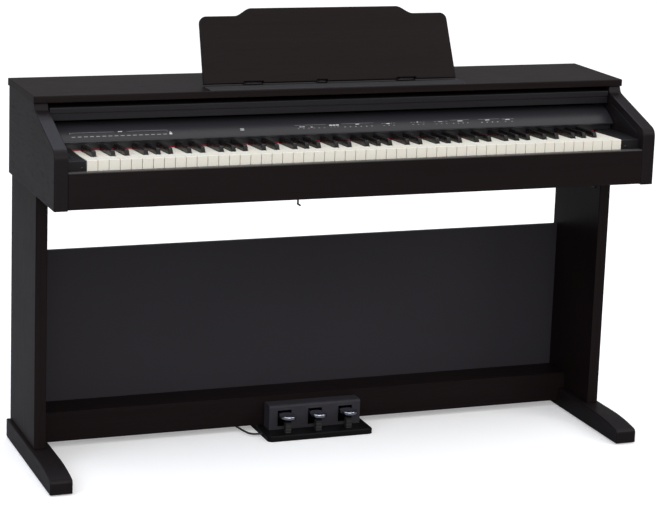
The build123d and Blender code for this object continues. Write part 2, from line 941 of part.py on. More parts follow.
def leg(side):
    """Upright board between the foot and the cabinet, drilled for the bracket screws."""
    with BuildPart() as board:
        with Locations((side * (leg_outer_half - leg_thickness / 2), behind((leg_front + leg_back) / 2),
                        (foot_height + side_bottom) / 2)):
            Box(leg_thickness, leg_back - leg_front, side_bottom - foot_height)
        fillet(board.edges().filter_by(Axis.Z).group_by(Axis.Y)[0], 2)
        with Locations(*leg_screw_spots(side)):
            Cylinder(screw_radius + running_clearance, 2 * screw_length, rotation=(0, 90, 0),
                     mode=Mode.SUBTRACT)
    return board.part


def leg_screw_spots(side):
    """Places of the screws that hold a bracket to the inner face of its leg."""
    depths = (bracket_front + screw_inset, bracket_back - screw_inset)
    height = rail_bottom - bracket_flange / 2
    return [(side * leg_inner, behind(depth), height) for depth in depths]


def foot(side):
    """Long foot whose top falls away to a rounded nose at the front."""
    start = foot_inner if side > 0 else -foot_outer_half
    with BuildPart() as runner:
        with BuildSketch(Plane.YZ.offset(start)) as outline:
            with BuildLine():
                flat = (behind(foot_nose_start), foot_height)
                nose = (behind(foot_front), foot_nose_height)
                Line((behind(overall_depth), foot_height), flat)
                TangentArc(flat, nose, tangent=(-1, 0))
                Line(nose, (behind(foot_front), pad_height))
                Line((behind(foot_front), pad_height), (behind(overall_depth), pad_height))
                Line((behind(overall_depth), pad_height), (behind(overall_depth), foot_height))
            make_face()
            tip = outline.vertices().group_by(Axis.X)[0].sort_by(Axis.Y)[-1]
            fillet(tip, foot_nose_radius)
        extrude(amount=foot_width)
        fillet(runner.edges().filter_by(Axis.Y).group_by(Axis.Z)[-1], 1.5)
    return runner.part


def foot_pads():
    """Round glides under both feet."""
    with BuildPart() as pads:
        for side in (-1, 1):
            for depth in (pad_front, overall_depth - pad_rear):
                with Locations((side * (foot_outer_half - foot_width / 2), behind(depth), pad_height / 2)):
                    Cylinder(pad_radius, pad_height)
    return pads.part


def stand_beam():
    """Low beam between the legs: an upright front board under a shelf."""
    shelf_back = rear_panel_front - board_gap
    outline = [
        (beam_front, beam_bottom),
        (beam_front, beam_top),
        (shelf_back, beam_top),
        (shelf_back, beam_top - beam_thickness),
        (beam_front + beam_thickness, beam_top - beam_thickness),
        (beam_front + beam_thickness, beam_bottom),
    ]
    opening = pedal_box_width + 2 * board_gap
    opening_back = pedal_box_back + board_gap
    notch = 2 * (leg_inner - foot_inner + board_gap)
    with BuildPart() as beam:
        add(across(outline, -leg_inner, 2 * leg_inner))
        with Locations((0, behind(opening_back - beam_top / 2), (pedal_box_top + board_gap) / 2)):
            Box(opening, beam_top, pedal_box_top + board_gap, mode=Mode.SUBTRACT)
        for side in (-1, 1):
            with Locations((side * leg_inner, behind(beam_front + beam_thickness), 0)):
                Box(notch, overall_depth, 2 * (foot_height + board_gap), mode=Mode.SUBTRACT)
    return beam.part


def stand_brackets():
    """Angle brackets that join the legs to the cabinet floor, with their screw holes."""
    depth = (bracket_front + bracket_back) / 2
    with BuildPart() as brackets:
        for side in (-1, 1):
            with Locations((side * (leg_inner - bracket_flange / 2), behind(depth),
                            rail_bottom - bracket_thickness / 2)):
                Box(bracket_flange, bracket_back - bracket_front, bracket_thickness)
            with Locations((side * (leg_inner - bracket_thickness / 2), behind(depth),
                            rail_bottom - bracket_flange / 2)):
                Box(bracket_thickness, bracket_back - bracket_front, bracket_flange)
            with Locations(*leg_screw_spots(side)):
                Cylinder(screw_radius + running_clearance, 20, rotation=(0, 90, 0), mode=Mode.SUBTRACT)
        with Locations(*[(x, y, rail_bottom) for x, y in bracket_screw_spots()]):
            Cylinder(screw_radius + running_clearance, 20, mode=Mode.SUBTRACT)
    return brackets.part


def assembly_screws():
    """Screws of the two brackets, heads against the brackets."""
    with BuildPart() as screws:
        seat = rail_bottom - bracket_thickness
        for x, y in bracket_screw_spots():
            with Locations((x, y, seat - screw_head_height / 2)):
                Cylinder(screw_head_radius, screw_head_height)
            with Locations((x, y, seat + (screw_length - 2) / 2)):
                Cylinder(screw_radius, screw_length - 2)
        for side in (-1, 1):
            for x, y, z in leg_screw_spots(side):
                inner = x - side * bracket_thickness
                with Locations((inner - side * screw_head_height / 2, y, z)):
                    Cylinder(screw_head_radius, screw_head_height, rotation=(0, 90, 0))
                with Locations((inner + side * (screw_length - 2) / 2, y, z)):
                    Cylinder(screw_radius, screw_length - 2, rotation=(0, 90, 0))
    return screws.part


# ---------------------------------------------------------------- pedal unit

def pedal_base_plate():
    """Heavy plate on the floor that the pedal box stands on."""
    with BuildPart() as base:
        with BuildSketch() as outline:
            with Locations((0, behind((base_front + base_back) / 2))):
                Rectangle(base_width, base_back - base_front)
            fillet(outline.vertices().group_by(Axis.Y)[0], base_corner)
        extrude(amount=base_thickness)
        top_edges = base.faces().sort_by(Axis.Z)[-1].edges()
        chamfer(top_edges, 2.5)
    return base.part


def pedal_places():
    """X of the three pedals."""
    return (-pedal_pitch, 0.0, pedal_pitch)


def pedal_box():
    """Hollow box with three slots for the pedals, open below where it stands on the plate."""
    low = base_thickness
    height = pedal_box_top - low
    middle = behind((pedal_box_front + pedal_box_back) / 2)
    depth = pedal_box_back - pedal_box_front
    slot_high = pedal_top + pedal_slot_gap
    inner_depth = depth - 2 * pedal_box_wall
    with BuildPart() as box:
        with Locations((0, middle, low + height / 2)):
            Box(pedal_box_width, depth, height)
        fillet(box.edges().group_by(Axis.Y)[0].filter_by(Axis.X).sort_by(Axis.Z)[-1], pedal_box_round)
        with Locations((0, middle, low + height / 2 - pedal_box_wall / 2)):
            Box(pedal_box_width - 2 * pedal_box_wall, inner_depth, height - pedal_box_wall, mode=Mode.SUBTRACT)
        for place in pedal_places():
            with Locations((place, behind(pedal_box_front), (pedal_slot_low + slot_high) / 2)):
                Box(pedal_width + 2 * pedal_slot_gap, 4 * pedal_box_wall, slot_high - pedal_slot_low,
                    mode=Mode.SUBTRACT)
    return box.part


def pedal(place):
    """Pedal lever: shell that widens to a round tip, open below, on a bored rear end."""
    half = pedal_width / 2
    tip_half = pedal_tip_width / 2
    tip_centre = behind(pedal_tip + tip_half)
    flare = behind(pedal_flare_start)
    back = behind(pedal_pivot_depth + pedal_heel)
    low = pedal_top - pedal_skirt
    with BuildPart() as lever:
        with BuildSketch(Plane.XY.offset(low)):
            with BuildLine():
                Polyline(
                    (place - half, back),
                    (place - half, flare),
                    (place - tip_half, tip_centre),
                    (place + tip_half, tip_centre),
                    (place + half, flare),
                    (place + half, back),
                    close=True,
                )
            make_face()
            with Locations((place, tip_centre)):
                Circle(tip_half)
        extrude(amount=pedal_skirt)
        fillet(lever.faces().sort_by(Axis.Z)[-1].edges(), pedal_round)
        with BuildSketch(Plane.XY.offset(low)):
            with Locations((place, tip_centre + pedal_hollow / 2)):
                Rectangle(pedal_width - 2 * pedal_wall, pedal_hollow)
            with Locations((place, tip_centre)):
                Circle(tip_half - pedal_wall)
        extrude(amount=pedal_skirt - pedal_top_wall, mode=Mode.SUBTRACT)
        with BuildSketch(Plane.YZ.offset(place - half)):
            with Locations((behind(pedal_pivot_depth), pedal_pivot_height)):
                Circle(pedal_pivot_radius + running_clearance)
        extrude(amount=pedal_width, mode=Mode.SUBTRACT)
    return lever.part


def pedal_pivot_rod():
    """Rod through all three pedals, held in the walls of the box."""
    with BuildPart() as rod:
        with BuildSketch(Plane.YZ.offset(-pedal_box_width / 2 + pedal_box_wall)):
            with Locations((behind(pedal_pivot_depth), pedal_pivot_height)):
                Circle(pedal_pivot_radius)
        extrude(amount=pedal_box_width - 2 * pedal_box_wall)
    return rod.part


def pedal_posts():
    """Square stop posts under the pedals, standing on the base plate."""
    with BuildPart() as posts:
        for place in pedal_places():
            with Locations((place, behind(post_depth), (base_thickness + post_top) / 2)):
                Box(post_size, post_size, post_top - base_thickness)
        fillet(posts.edges().filter_by(Axis.Z), 1)
    return posts.part


# Route of the pedal cable, chosen by hand: (x, distance behind the front plane, height)
cable_route = (
    (-base_width / 2, 268, 6.2),
    (-152, 268, 6.2),
    (-161, 299, 5.5),
    (-166, 337, 5.0),
    (-180, 373, 7.0),
    (-208, 396, 20),
    (-248, 403.5, 36),
    (-300, 404, 46),
    (-360, 403.5, 52),
    (-420, 404, 59),
    (-480, 403.5, 67),
    (-537, 404, 80),
    (-588, 403.5, 106),
    (-619, 404, 150),
    (-631, 403.5, 205),
    (-634, 404, 265),
    (-632, 403.5, 325),
    (-635, 404, 385),
    (-633, 402, 445),
    (-631, 396, 503),
    (-632, 386, 558),
    (-632, 386, rail_bottom),
)


def route_points():
    """The cable's route in the part's own frame."""
    return [Vector(x, behind(depth), height) for x, depth, height in cable_route]


def corner_radius(before, corner, after):
    """Arc radius at one corner: 0.45 of the shorter run over the tangent of half the turn."""
    first = corner - before
    second = after - corner
    turn = radians(first.get_angle(second))
    return 0.45 * min(first.length, second.length) / tan(turn / 2)


def pedal_cable():
    """Cable tube along straight runs joined by tangent arcs."""
    points = route_points()
    radii = [0.0]
    radii += [corner_radius(*points[i - 1:i + 2]) for i in range(1, len(points) - 1)]
    radii += [0.0]
    print("cable arc radii:", [round(radius, 1) for radius in radii[1:-1]])
    with BuildPart() as tube:
        with BuildLine() as line:
            FilletPolyline(*points, radius=radii[1:-1])
        start = Plane(origin=points[0], z_dir=points[1] - points[0])
        with BuildSketch(start):
            Circle(cable_diameter / 2)
        sweep()
    length = sum(edge.length for edge in line.edges())
    section = pi * (cable_diameter / 2) ** 2
    print("cable length %.1f volume ratio %.4f" % (length, tube.part.volume / (section * length)))
    return tube.part


def cable_clips():
    """Saddle clips on the back of the rear panel, each around the middle of one straight run."""
    points = route_points()
    face = behind(rear_panel_front + rear_panel_thickness)
    outer = clip_bore + clip_wall
    with BuildPart() as clips:
        for run in clip_runs:
            centre = (points[run] + points[run + 1]) / 2
            direction = (points[run + 1] - points[run]).normalized()
            upright = abs(direction.Z) > abs(direction.X)
            wide, tall = (2 * outer, clip_length) if upright else (clip_length, 2 * outer)
            reach = centre.Y + outer - face
            with Locations((centre.X, face + reach / 2, centre.Z)):
                Box(wide, reach, tall)
        for run in clip_runs:
            centre = (points[run] + points[run + 1]) / 2
            direction = (points[run + 1] - points[run]).normalized()
            with BuildSketch(Plane(origin=centre, z_dir=direction)):
                Circle(clip_bore)
            extrude(amount=2 * outer, both=True, mode=Mode.SUBTRACT)
    return clips.part


# ---------------------------------------------------------------- everything

def pair(maker):
    """Two mirror-image pieces in one file."""
    with BuildPart() as both:
        add([maker(-1), maker(1)])
    return both.part


save(side_panel(-side_outer), "side_panel_left")
save(side_panel(side_inner), "side_panel_right")
save(top_panel(), "top_panel")
save(front_rail(), "front_rail")
save(plate((-side_inner, rail_front + trim_set_back, rail_top),
           (side_inner, rail_front + rail_thickness, rail_top + trim_thickness)), "front_rail_trim")
save(bottom_board(), "bottom_board")
save(back_board(), "back_board")
save(rear_socket_plate(), "rear_socket_plate")
save(control_panel(), "control_panel")
save(plate((-key_span / 2, key_rear + drop_gap, key_rear_height - felt_sink),
           (key_span / 2, key_rear + drop_gap + felt_thickness, key_rear_height - felt_sink + felt_height)),
     "key_felt_strip")
save(pair(key_end_block), "key_end_blocks")
for name, depth in zip(("power_button", "volume_down_button", "volume_up_button"), button_depths):
    save(button(depth), name)

middle_whites = range(middle_octave_start, middle_octave_start + len(octave_letters))
save(key_group([white_key(i) for i in range(white_count) if i not in middle_whites]), "white_keys")
save(key_group([black_key(i) for i in range(white_count) if has_black(i) and i not in middle_whites]),
     "black_keys")
for index, letter in zip(middle_whites, octave_letters):
    save(white_key(index), f"key_{letter}")
    if has_black(index):
        save(black_key(index), f"key_{letter}_sharp")
save(key_frame(), "key_frame")
save(hammer_weights(), "hammer_weights")

save(speakers(), "speakers")
save(circuit_board(), "circuit_board")
save(jack_box(), "jack_box")
save(headphone_hook(), "headphone_hook")

save(cover_shaft(), "cover_shaft")
save(pair(cover_rack), "cover_racks")
save(pair(cover_bearing), "cover_bearings")
save(key_cover(), "key_cover")

save(music_rest_board(), "music_rest_board")
save(music_rest_ledge(), "music_rest_ledge")
save(rest_hinge_bases(), "rest_hinge_bases")
save(rest_hinge_leaves(), "rest_hinge_leaves")

save(leg(-1), "leg_left")
save(leg(1), "leg_right")
save(foot(-1), "foot_left")
save(foot(1), "foot_right")
save(foot_pads(), "foot_pads")
save(plate((-leg_inner, rear_panel_front, beam_bottom + rear_panel_lift),
           (leg_inner, rear_panel_front + rear_panel_thickness, rear_panel_top)), "rear_panel")
save(stand_beam(), "stand_beam")
save(stand_brackets(), "stand_brackets")
save(assembly_screws(), "assembly_screws")

save(pedal_base_plate(), "pedal_base_plate")
save(pedal_box(), "pedal_box")
save(pedal_posts(), "pedal_posts")
save(pedal_pivot_rod(), "pedal_pivot_rod")
for name, place in zip(("soft_pedal", "sostenuto_pedal", "damper_pedal"), pedal_places()):
    save(pedal(place), name)
save(pedal_cable(), "pedal_cable")
save(cable_clips(), "cable_clips")
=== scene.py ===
"""Looks of the digital piano on its stand: finishes, detailed pieces, studio and camera.

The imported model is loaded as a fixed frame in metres. X runs along the keyboard, +Y points to
the back and +Z up. Every new piece has its place in its mesh and rides on a body of the frame.
"""
import logging
from dataclasses import dataclass, field
from enum import Enum
from math import atan2, cos, degrees, pi, radians, sin, tan
from typing import Iterable, Sequence

import bpy
import numpy as np
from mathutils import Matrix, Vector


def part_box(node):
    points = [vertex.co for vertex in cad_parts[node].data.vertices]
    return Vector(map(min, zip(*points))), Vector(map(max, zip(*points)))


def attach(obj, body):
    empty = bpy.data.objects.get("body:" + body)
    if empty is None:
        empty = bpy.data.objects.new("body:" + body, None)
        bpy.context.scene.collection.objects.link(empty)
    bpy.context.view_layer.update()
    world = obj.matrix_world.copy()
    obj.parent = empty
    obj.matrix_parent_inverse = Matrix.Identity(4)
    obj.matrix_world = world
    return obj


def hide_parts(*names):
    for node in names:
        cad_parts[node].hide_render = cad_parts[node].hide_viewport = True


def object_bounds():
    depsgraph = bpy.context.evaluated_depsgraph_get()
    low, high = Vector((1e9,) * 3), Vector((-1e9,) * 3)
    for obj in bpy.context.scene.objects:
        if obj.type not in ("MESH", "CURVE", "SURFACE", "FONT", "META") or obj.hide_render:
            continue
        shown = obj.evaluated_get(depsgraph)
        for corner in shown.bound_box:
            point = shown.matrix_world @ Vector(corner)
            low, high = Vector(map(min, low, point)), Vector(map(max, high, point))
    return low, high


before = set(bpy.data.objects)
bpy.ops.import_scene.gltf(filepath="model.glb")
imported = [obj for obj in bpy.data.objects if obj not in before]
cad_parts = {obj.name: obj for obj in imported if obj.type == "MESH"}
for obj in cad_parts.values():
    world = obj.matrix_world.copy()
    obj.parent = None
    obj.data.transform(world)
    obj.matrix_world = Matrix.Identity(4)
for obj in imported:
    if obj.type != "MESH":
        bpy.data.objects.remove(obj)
cad_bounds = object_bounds()

log = logging.getLogger("piano")
Colour = tuple[float, float, float]
Outline = Sequence[tuple[float, float]]
FRONT_PLANE = cad_bounds[0][1]
MM = 0.001


def depth(distance: float) -> float:
    """Y of a place this many metres behind the front plane of the piano."""
    return FRONT_PLANE + distance


# ---------------------------------------------------------------- shader maths

@dataclass(frozen=True)
class Value:
    """A number carried by a socket, on which arithmetic adds Math nodes."""

    tree: "Tree"
    socket: bpy.types.NodeSocket

    def _maths(self, operation: str, first: object, second: object = None) -> "Value":
        """Add one Math node.

        Args:
            operation: Blender's name of the sum.
            first: first number or Value.
            second: second number or Value, where the sum takes two.

        Returns:
            The node's result.
        """
        values = {0: first} if second is None else {0: first, 1: second}
        node = self.tree.node("ShaderNodeMath", {"operation": operation}, values)
        return Value(self.tree, node.outputs[0])

    def __add__(self, other: object) -> "Value":
        """Sum of two values."""
        return self._maths("ADD", self, other)

    __radd__ = __add__

    def __mul__(self, other: object) -> "Value":
        """Product of two values."""
        return self._maths("MULTIPLY", self, other)

    __rmul__ = __mul__

    def __sub__(self, other: object) -> "Value":
        """Difference of two values."""
        return self._maths("SUBTRACT", self, other)

    def __rsub__(self, other: object) -> "Value":
        """Difference, with this value taken away."""
        return self._maths("SUBTRACT", other, self)

    def __truediv__(self, other: object) -> "Value":
        """Quotient of two values."""
        return self._maths("DIVIDE", self, other)

    def __pow__(self, other: object) -> "Value":
        """This value raised to a power."""
        return self._maths("POWER", self, other)

    def above(self, limit: float) -> "Value":
        """1 where this value is greater than the limit, else 0."""
        return self._maths("GREATER_THAN", self, limit)

    def wave(self) -> "Value":
        """Sine of this value."""
        return self._maths("SINE", self)

    def size(self) -> "Value":
        """This value without its sign."""
        return self._maths("ABSOLUTE", self)

    def clamped(self) -> "Value":
        """This value kept between 0 and 1."""
        return self._maths("MINIMUM", self._maths("MAXIMUM", self, 0.0), 1.0)


class Tree:
    """Node tree of one material, with one method that makes every node."""

    def __init__(self, material: bpy.types.Material) -> None:
        """Clear the material's tree and give it one shader and its output."""
        material.use_nodes = True
        self.nodes = material.node_tree.nodes
        self.links = material.node_tree.links
        self.nodes.clear()
        self.shader = self.node("ShaderNodeBsdfPrincipled")
        self.node("ShaderNodeOutputMaterial", {}, {"Surface": self.shader.outputs[0]})
        self.place = self.node("ShaderNodeTexCoord").outputs["Object"]

    def node(self, kind: str, settings: dict | None = None, values: dict | None = None) -> bpy.types.Node:
        """Make one node, set it up and fill its sockets.

        Args:
            kind: Blender's type of the node.
            settings: attributes set before anything else; "stops" fills a colour ramp.
            values: socket name or index to a number, vector, Value or socket.

        Returns:
            The new node.
        """
        made = self.nodes.new(kind)
        for name, setting in (settings or {}).items():
            if name == "stops":
                self._fill_ramp(made, setting)
            else:
                setattr(made, name, setting)
        for name, value in (values or {}).items():
            self.feed(made.inputs[name], value)
        return made

    def _fill_ramp(self, ramp: bpy.types.Node, stops: Sequence[tuple[float, Colour]]) -> None:
        """Give a colour ramp its stops, each a position and a colour."""
        elements = ramp.color_ramp.elements
        while len(elements) < len(stops):
            elements.new(1.0)
        for element, (position, colour) in zip(elements, stops):
            element.position = position
            element.color = (*colour, 1.0)

    def feed(self, socket: bpy.types.NodeSocket, value: object) -> None:
        """Link a Value or a socket to a socket, or set a plain number or vector on it."""
        if isinstance(value, Value):
            self.links.new(value.socket, socket)
        elif isinstance(value, bpy.types.NodeSocket):
            self.links.new(value, socket)
        else:
            socket.default_value = value

    def stretched(self, scale: Sequence[float]) -> bpy.types.NodeSocket:
        """Object coordinates multiplied axis by axis.

        Args:
            scale: repeats per metre along X, Y and Z.

        Returns:
            The stretched coordinates.
        """
        made = self.node("ShaderNodeVectorMath", {"operation": "MULTIPLY"}, {0: self.place, 1: tuple(scale)})
        return made.outputs[0]

    def axis(self, name: str) -> Value:
        """One object coordinate, X, Y or Z, in metres."""
        return Value(self, self.node("ShaderNodeSeparateXYZ", {}, {0: self.place}).outputs[name])

    def noise(self, scale: Sequence[float], detail: float = 2.0, roughness: float = 0.5) -> Value:
        """Soft noise between 0 and 1, with its own number of lumps per metre along each axis."""
        made = self.node("ShaderNodeTexNoise", {},
                         {"Vector": self.stretched(scale), "Scale": 1.0, "Detail": detail,
                          "Roughness": roughness})
        return Value(self, made.outputs["Fac"])

    def cells(self, scale: Sequence[float]) -> Value:
        """Distance to the nearest of many scattered points."""
        made = self.node("ShaderNodeTexVoronoi", {}, {"Vector": self.stretched(scale), "Scale": 1.0})
        return Value(self, made.outputs["Distance"])

    def ramp(self, value: Value, stops: Sequence[tuple[float, Colour]]) -> bpy.types.NodeSocket:
        """Colour that follows a value through a list of stops."""
        return self.node("ShaderNodeValToRGB", {"stops": stops}, {"Fac": value}).outputs["Color"]

    def mix(self, share: object, first: object, second: object) -> bpy.types.NodeSocket:
        """Blend two colours.

        Args:
            share: how much of the second colour, 0 to 1.
            first: colour or socket.
            second: colour or socket.

        Returns:
            The blended colour.
        """
        made = self.node("ShaderNodeMix", {"data_type": "RGBA"})
        self.feed(made.inputs[0], share)
        for index, colour in ((6, first), (7, second)):
            self.feed(made.inputs[index], (*colour, 1.0) if isinstance(colour, tuple) else colour)
        return made.outputs[2]

    def bump(self, height: Value, rise: float, strength: float = 1.0) -> None:
        """Let a height disturb the surface: rise is in metres for a height of 1."""
        made = self.node("ShaderNodeBump", {}, {"Height": height, "Distance": rise, "Strength": strength})
        self.feed(self.shader.inputs["Normal"], made.outputs[0])

    def surface(self, **values: object) -> None:
        """Fill the shader's sockets; spaces in their names are written as underscores."""
        for name, value in values.items():
            if isinstance(value, tuple):
                value = (*value, 1.0)
            self.feed(self.shader.inputs[name.replace("_", " ")], value)


# ---------------------------------------------------------------- finishes

class Grain(Enum):
    """Direction that the grain of a wood finish runs in."""

    ACROSS = (1.0, 0.0, 0.0)
    BACKWARDS = (0.0, 1.0, 0.0)
    UPRIGHT = (0.0, 0.0, 1.0)

    def scale(self, along: float, across: float) -> tuple[float, float, float]:
        """Repeats per metre on each axis: few along the grain, many across it."""
        return tuple(along if part else across for part in self.value)


@dataclass(frozen=True)
class Finish:
    """A named finish of the record's slot, made into a material once."""

    name: str
    slot: str

    def dress(self, tree: Tree) -> None:
        """Fill the tree of the finish's material; each finish has its own."""
        raise NotImplementedError

    def material(self) -> bpy.types.Material:
        """The finish's material, made at first use."""
        label = f"{self.name}_finish"
        made = bpy.data.materials.get(label)
        if made is None:
            made = bpy.data.materials.new(label)
            self.dress(Tree(made))
        return made


@dataclass(frozen=True)
class Veneer(Finish):
    """Satin laminate with fine straight wood grain."""

    grain: Grain = Grain.ACROSS
    shade: Colour = (0.0060, 0.0036, 0.0038)
    streak: Colour = (0.0128, 0.0080, 0.0080)
    gloss: float = 0.34
    shine: float = 0.11
    figure: float = 1.0
    depth_of_pores: float = 0.00002

    def dress(self, tree: Tree) -> None:
        """Broad bands, narrow streaks and dark short pores, all drawn out along the grain."""
        bands = tree.noise(self.grain.scale(0.7, 26.0), 3.0, 0.55)
        streaks = tree.noise(self.grain.scale(2.4, 210.0), 4.0, 0.6)
        fibres = tree.noise(self.grain.scale(9.0, 900.0), 2.0, 0.5)
        pores = (tree.noise(self.grain.scale(22.0, 700.0), 1.0, 0.4) * 5.0 - 2.9).clamped()
        warmth = ((bands * 0.55 + streaks * 0.75 + fibres * 0.35 - 0.83) * self.figure + 0.4).clamped()
        base = tree.ramp(warmth, ((0.0, self.shade), (0.45, self._middle()), (1.0, self.streak)))
        worn = (tree.noise((7.0, 7.0, 7.0), 2.0) * 1.5 - 0.4).clamped()
        tree.surface(
            Base_Color=tree.mix(pores * 0.6, base, tuple(part * 0.45 for part in self.shade)),
            Roughness=self.gloss + streaks * 0.10 + pores * 0.14 - worn * 0.05,
            Specular_IOR_Level=self.shine,
        )
        tree.bump(streaks * 0.5 + fibres * 0.4 - pores * 0.8, self.depth_of_pores)

    def _middle(self) -> Colour:
        """Colour half way between the shade and the streak."""
        return tuple((dark + light) / 2 for dark, light in zip(self.shade, self.streak))


@dataclass(frozen=True)
class ClothBoard(Finish):
    """Dark grey board with a fine woven emboss."""

    colour: Colour = (0.0245, 0.0220, 0.0270)
    thread: float = 1400.0

    def dress(self, tree: Tree) -> None:
        """Two crossing sine waves make the weave, and slow noise the cloudiness."""
        warp = (tree.axis("X") * self.thread).wave()
        weft = (tree.axis("Z") * self.thread).wave()
        weave = warp * weft * 0.5 + 0.5
        clouds = tree.noise((3.0, 3.0, 4.0), 3.0)
        slubs = tree.noise((420.0, 420.0, 420.0), 2.0)
        share = (clouds * 0.5 + slubs * 0.45 + weave * 0.15).clamped()
        tree.surface(
            Base_Color=tree.mix(share, tuple(part * 0.72 for part in self.colour),
                                tuple(part * 1.3 for part in self.colour)),
            Roughness=0.52 + slubs * 0.22,
            Specular_IOR_Level=0.22,
        )
        tree.bump(weave * 0.6 + slubs * 0.7, 0.00006)


@dataclass(frozen=True)
class Moulding(Finish):
    """Moulded plastic with a stippled skin, patchy dust and a little rubbed shine."""

    colour: Colour = (0.0085, 0.0082, 0.0092)
    gloss: float = 0.42
    stipple: float = 1500.0
    skin: float = 0.00004
    speckle: float = 0.25
    shine: float = 0.20

    def dress(self, tree: Tree) -> None:
        """Fine cells make the stipple, soft noise the uneven colour and shine."""
        grit = tree.cells((self.stipple,) * 3)
        flow = tree.noise((11.0, 11.0, 11.0), 3.0)
        fine = tree.noise((self.stipple * 0.55,) * 3, 1.0)
        share = (flow * 0.55 + fine * self.speckle + grit * 0.2).clamped()
        tree.surface(
            Base_Color=tree.mix(share, tuple(part * 0.75 for part in self.colour),
                                tuple(part * 1.3 + 0.001 for part in self.colour)),
            Roughness=self.gloss + grit * 0.12 - flow * 0.08,
            Specular_IOR_Level=self.shine,
        )
        tree.bump(grit * 0.7 + fine * 0.3, self.skin)


@dataclass(frozen=True)
class SatinPanel(Finish):
    """Sprayed satin skin of the control panel, with a faint fleck."""

    colour: Colour = (0.0175, 0.0172, 0.0210)

    def dress(self, tree: Tree) -> None:
        """Fleck from tight noise, and slow noise in the shine."""
        fleck = (tree.noise((2600.0, 2600.0, 2600.0), 1.0) * 3.0 - 1.4).clamped()
        flow = tree.noise((4.0, 14.0, 14.0), 2.0)
        tree.surface(
            Base_Color=tree.mix(fleck * 0.5 + flow * 0.3, self.colour,
                                tuple(part * 1.7 for part in self.colour)),
            Roughness=0.27 + fleck * 0.06 + flow * 0.05,
            Specular_IOR_Level=0.40,
        )
        tree.bump(fleck, 0.00001)


@dataclass(frozen=True)
class Ivory(Finish):
    """Warm white key plastic, dull on top, with the faint lines of imitation ivory."""

    pale: Colour = (0.88, 0.85, 0.75)
    dark: Colour = (0.77, 0.73, 0.63)

    def dress(self, tree: Tree) -> None:
        """Lines drawn out along the key, warm clouds, and yellowing towards the front edge."""
        lines = tree.noise((1500.0, 12.0, 90.0), 3.0)
        clouds = tree.noise((16.0, 16.0, 16.0), 2.0)
        played = (1.0 - (tree.axis("Y") - FRONT_PLANE - 0.02) / 0.09).clamped()
        share = (lines * 0.32 + clouds * 0.3 + played * 0.1 - 0.12).clamped()
        tree.surface(
            Base_Color=tree.mix(share, self.pale, self.dark),
            Roughness=0.36 + lines * 0.12 - played * 0.08,
            Specular_IOR_Level=0.5,
            Subsurface_Weight=0.05,
            Subsurface_Scale=0.002,
        )
        tree.bump(lines, 0.000012)


@dataclass(frozen=True)
class Ebony(Finish):
    """Matt black key plastic with an ebony feel: short pores along the key."""

    colour: Colour = (0.0028, 0.0025, 0.0025)

    def dress(self, tree: Tree) -> None:
        """Pores drawn out along Y, and slow noise that leaves some places a little smoother and browner."""
        pores = (tree.noise((900.0, 60.0, 900.0), 2.0) * 4.0 - 1.8).clamped()
        rubbed = tree.noise((30.0, 9.0, 30.0), 2.0)
        tree.surface(
            Base_Color=tree.mix(rubbed * 0.7 + pores * 0.3, self.colour, (0.0085, 0.0066, 0.0060)),
            Roughness=0.26 + pores * 0.16 - rubbed * 0.08,
            Specular_IOR_Level=0.32,
        )
        tree.bump(pores, 0.00003)


@dataclass(frozen=True)
class Felt(Finish):
    """Pressed wool felt with matted fibres."""

    colour: Colour = (0.38, 0.010, 0.020)

    def dress(self, tree: Tree) -> None:
        """Two noises of tangled fibres shade the colour and roughen the surface."""
        fibres = tree.noise((1500.0, 1500.0, 3400.0), 4.0, 0.7)
        tufts = tree.noise((190.0, 190.0, 190.0), 3.0)
        tree.surface(
            Base_Color=tree.mix(fibres * 0.6 + tufts * 0.4, tuple(part * 0.5 for part in self.colour),
                                tuple(part * 1.35 + 0.004 for part in self.colour)),
            Roughness=0.92,
            Sheen_Weight=0.5,
            Sheen_Roughness=0.45,
        )
        tree.bump(fibres + tufts * 0.5, 0.0003)


@dataclass(frozen=True)
class Metal(Finish):
    """Bare or plated metal, brushed along one axis or polished."""

    colour: Colour = (0.55, 0.54, 0.53)
    gloss: float = 0.28
    brushed: tuple[float, float, float] = (30.0, 1400.0, 1400.0)
    marks: float = 0.12

    def dress(self, tree: Tree) -> None:
        """Brush lines, finger smudges in the shine and a slightly uneven tone."""
        lines = tree.noise(self.brushed, 3.0, 0.6)
        smudges = tree.noise((45.0, 45.0, 45.0), 4.0, 0.6)
        tree.surface(
            Base_Color=tree.mix(lines * 0.5 + smudges * 0.5, tuple(part * 0.82 for part in self.colour),
                                tuple(min(1.0, part * 1.12) for part in self.colour)),
            Roughness=self.gloss + (smudges - 0.5) * self.marks + (lines - 0.5) * self.marks,
            Metallic=1.0,
        )
        tree.bump(lines, 0.000008)


@dataclass(frozen=True)
class Rubber(Finish):
    """Dull rubber or cable jacket with a bloom of fine dust."""

    colour: Colour = (0.011, 0.011, 0.012)
    gloss: float = 0.6

    def dress(self, tree: Tree) -> None:
        """Dusty noise lightens the colour and dulls it."""
        dust = (tree.noise((260.0, 260.0, 260.0), 4.0, 0.7) * 1.6 - 0.5).clamped()
        drift = tree.noise((22.0, 22.0, 22.0), 2.0)
        tree.surface(
            Base_Color=tree.mix(dust * 0.55 + drift * 0.3, self.colour,
                                tuple(part * 2.4 for part in self.colour)),
            Roughness=self.gloss + dust * 0.2,
            Specular_IOR_Level=0.4,
        )
        tree.bump(dust + drift * 0.4, 0.00004)


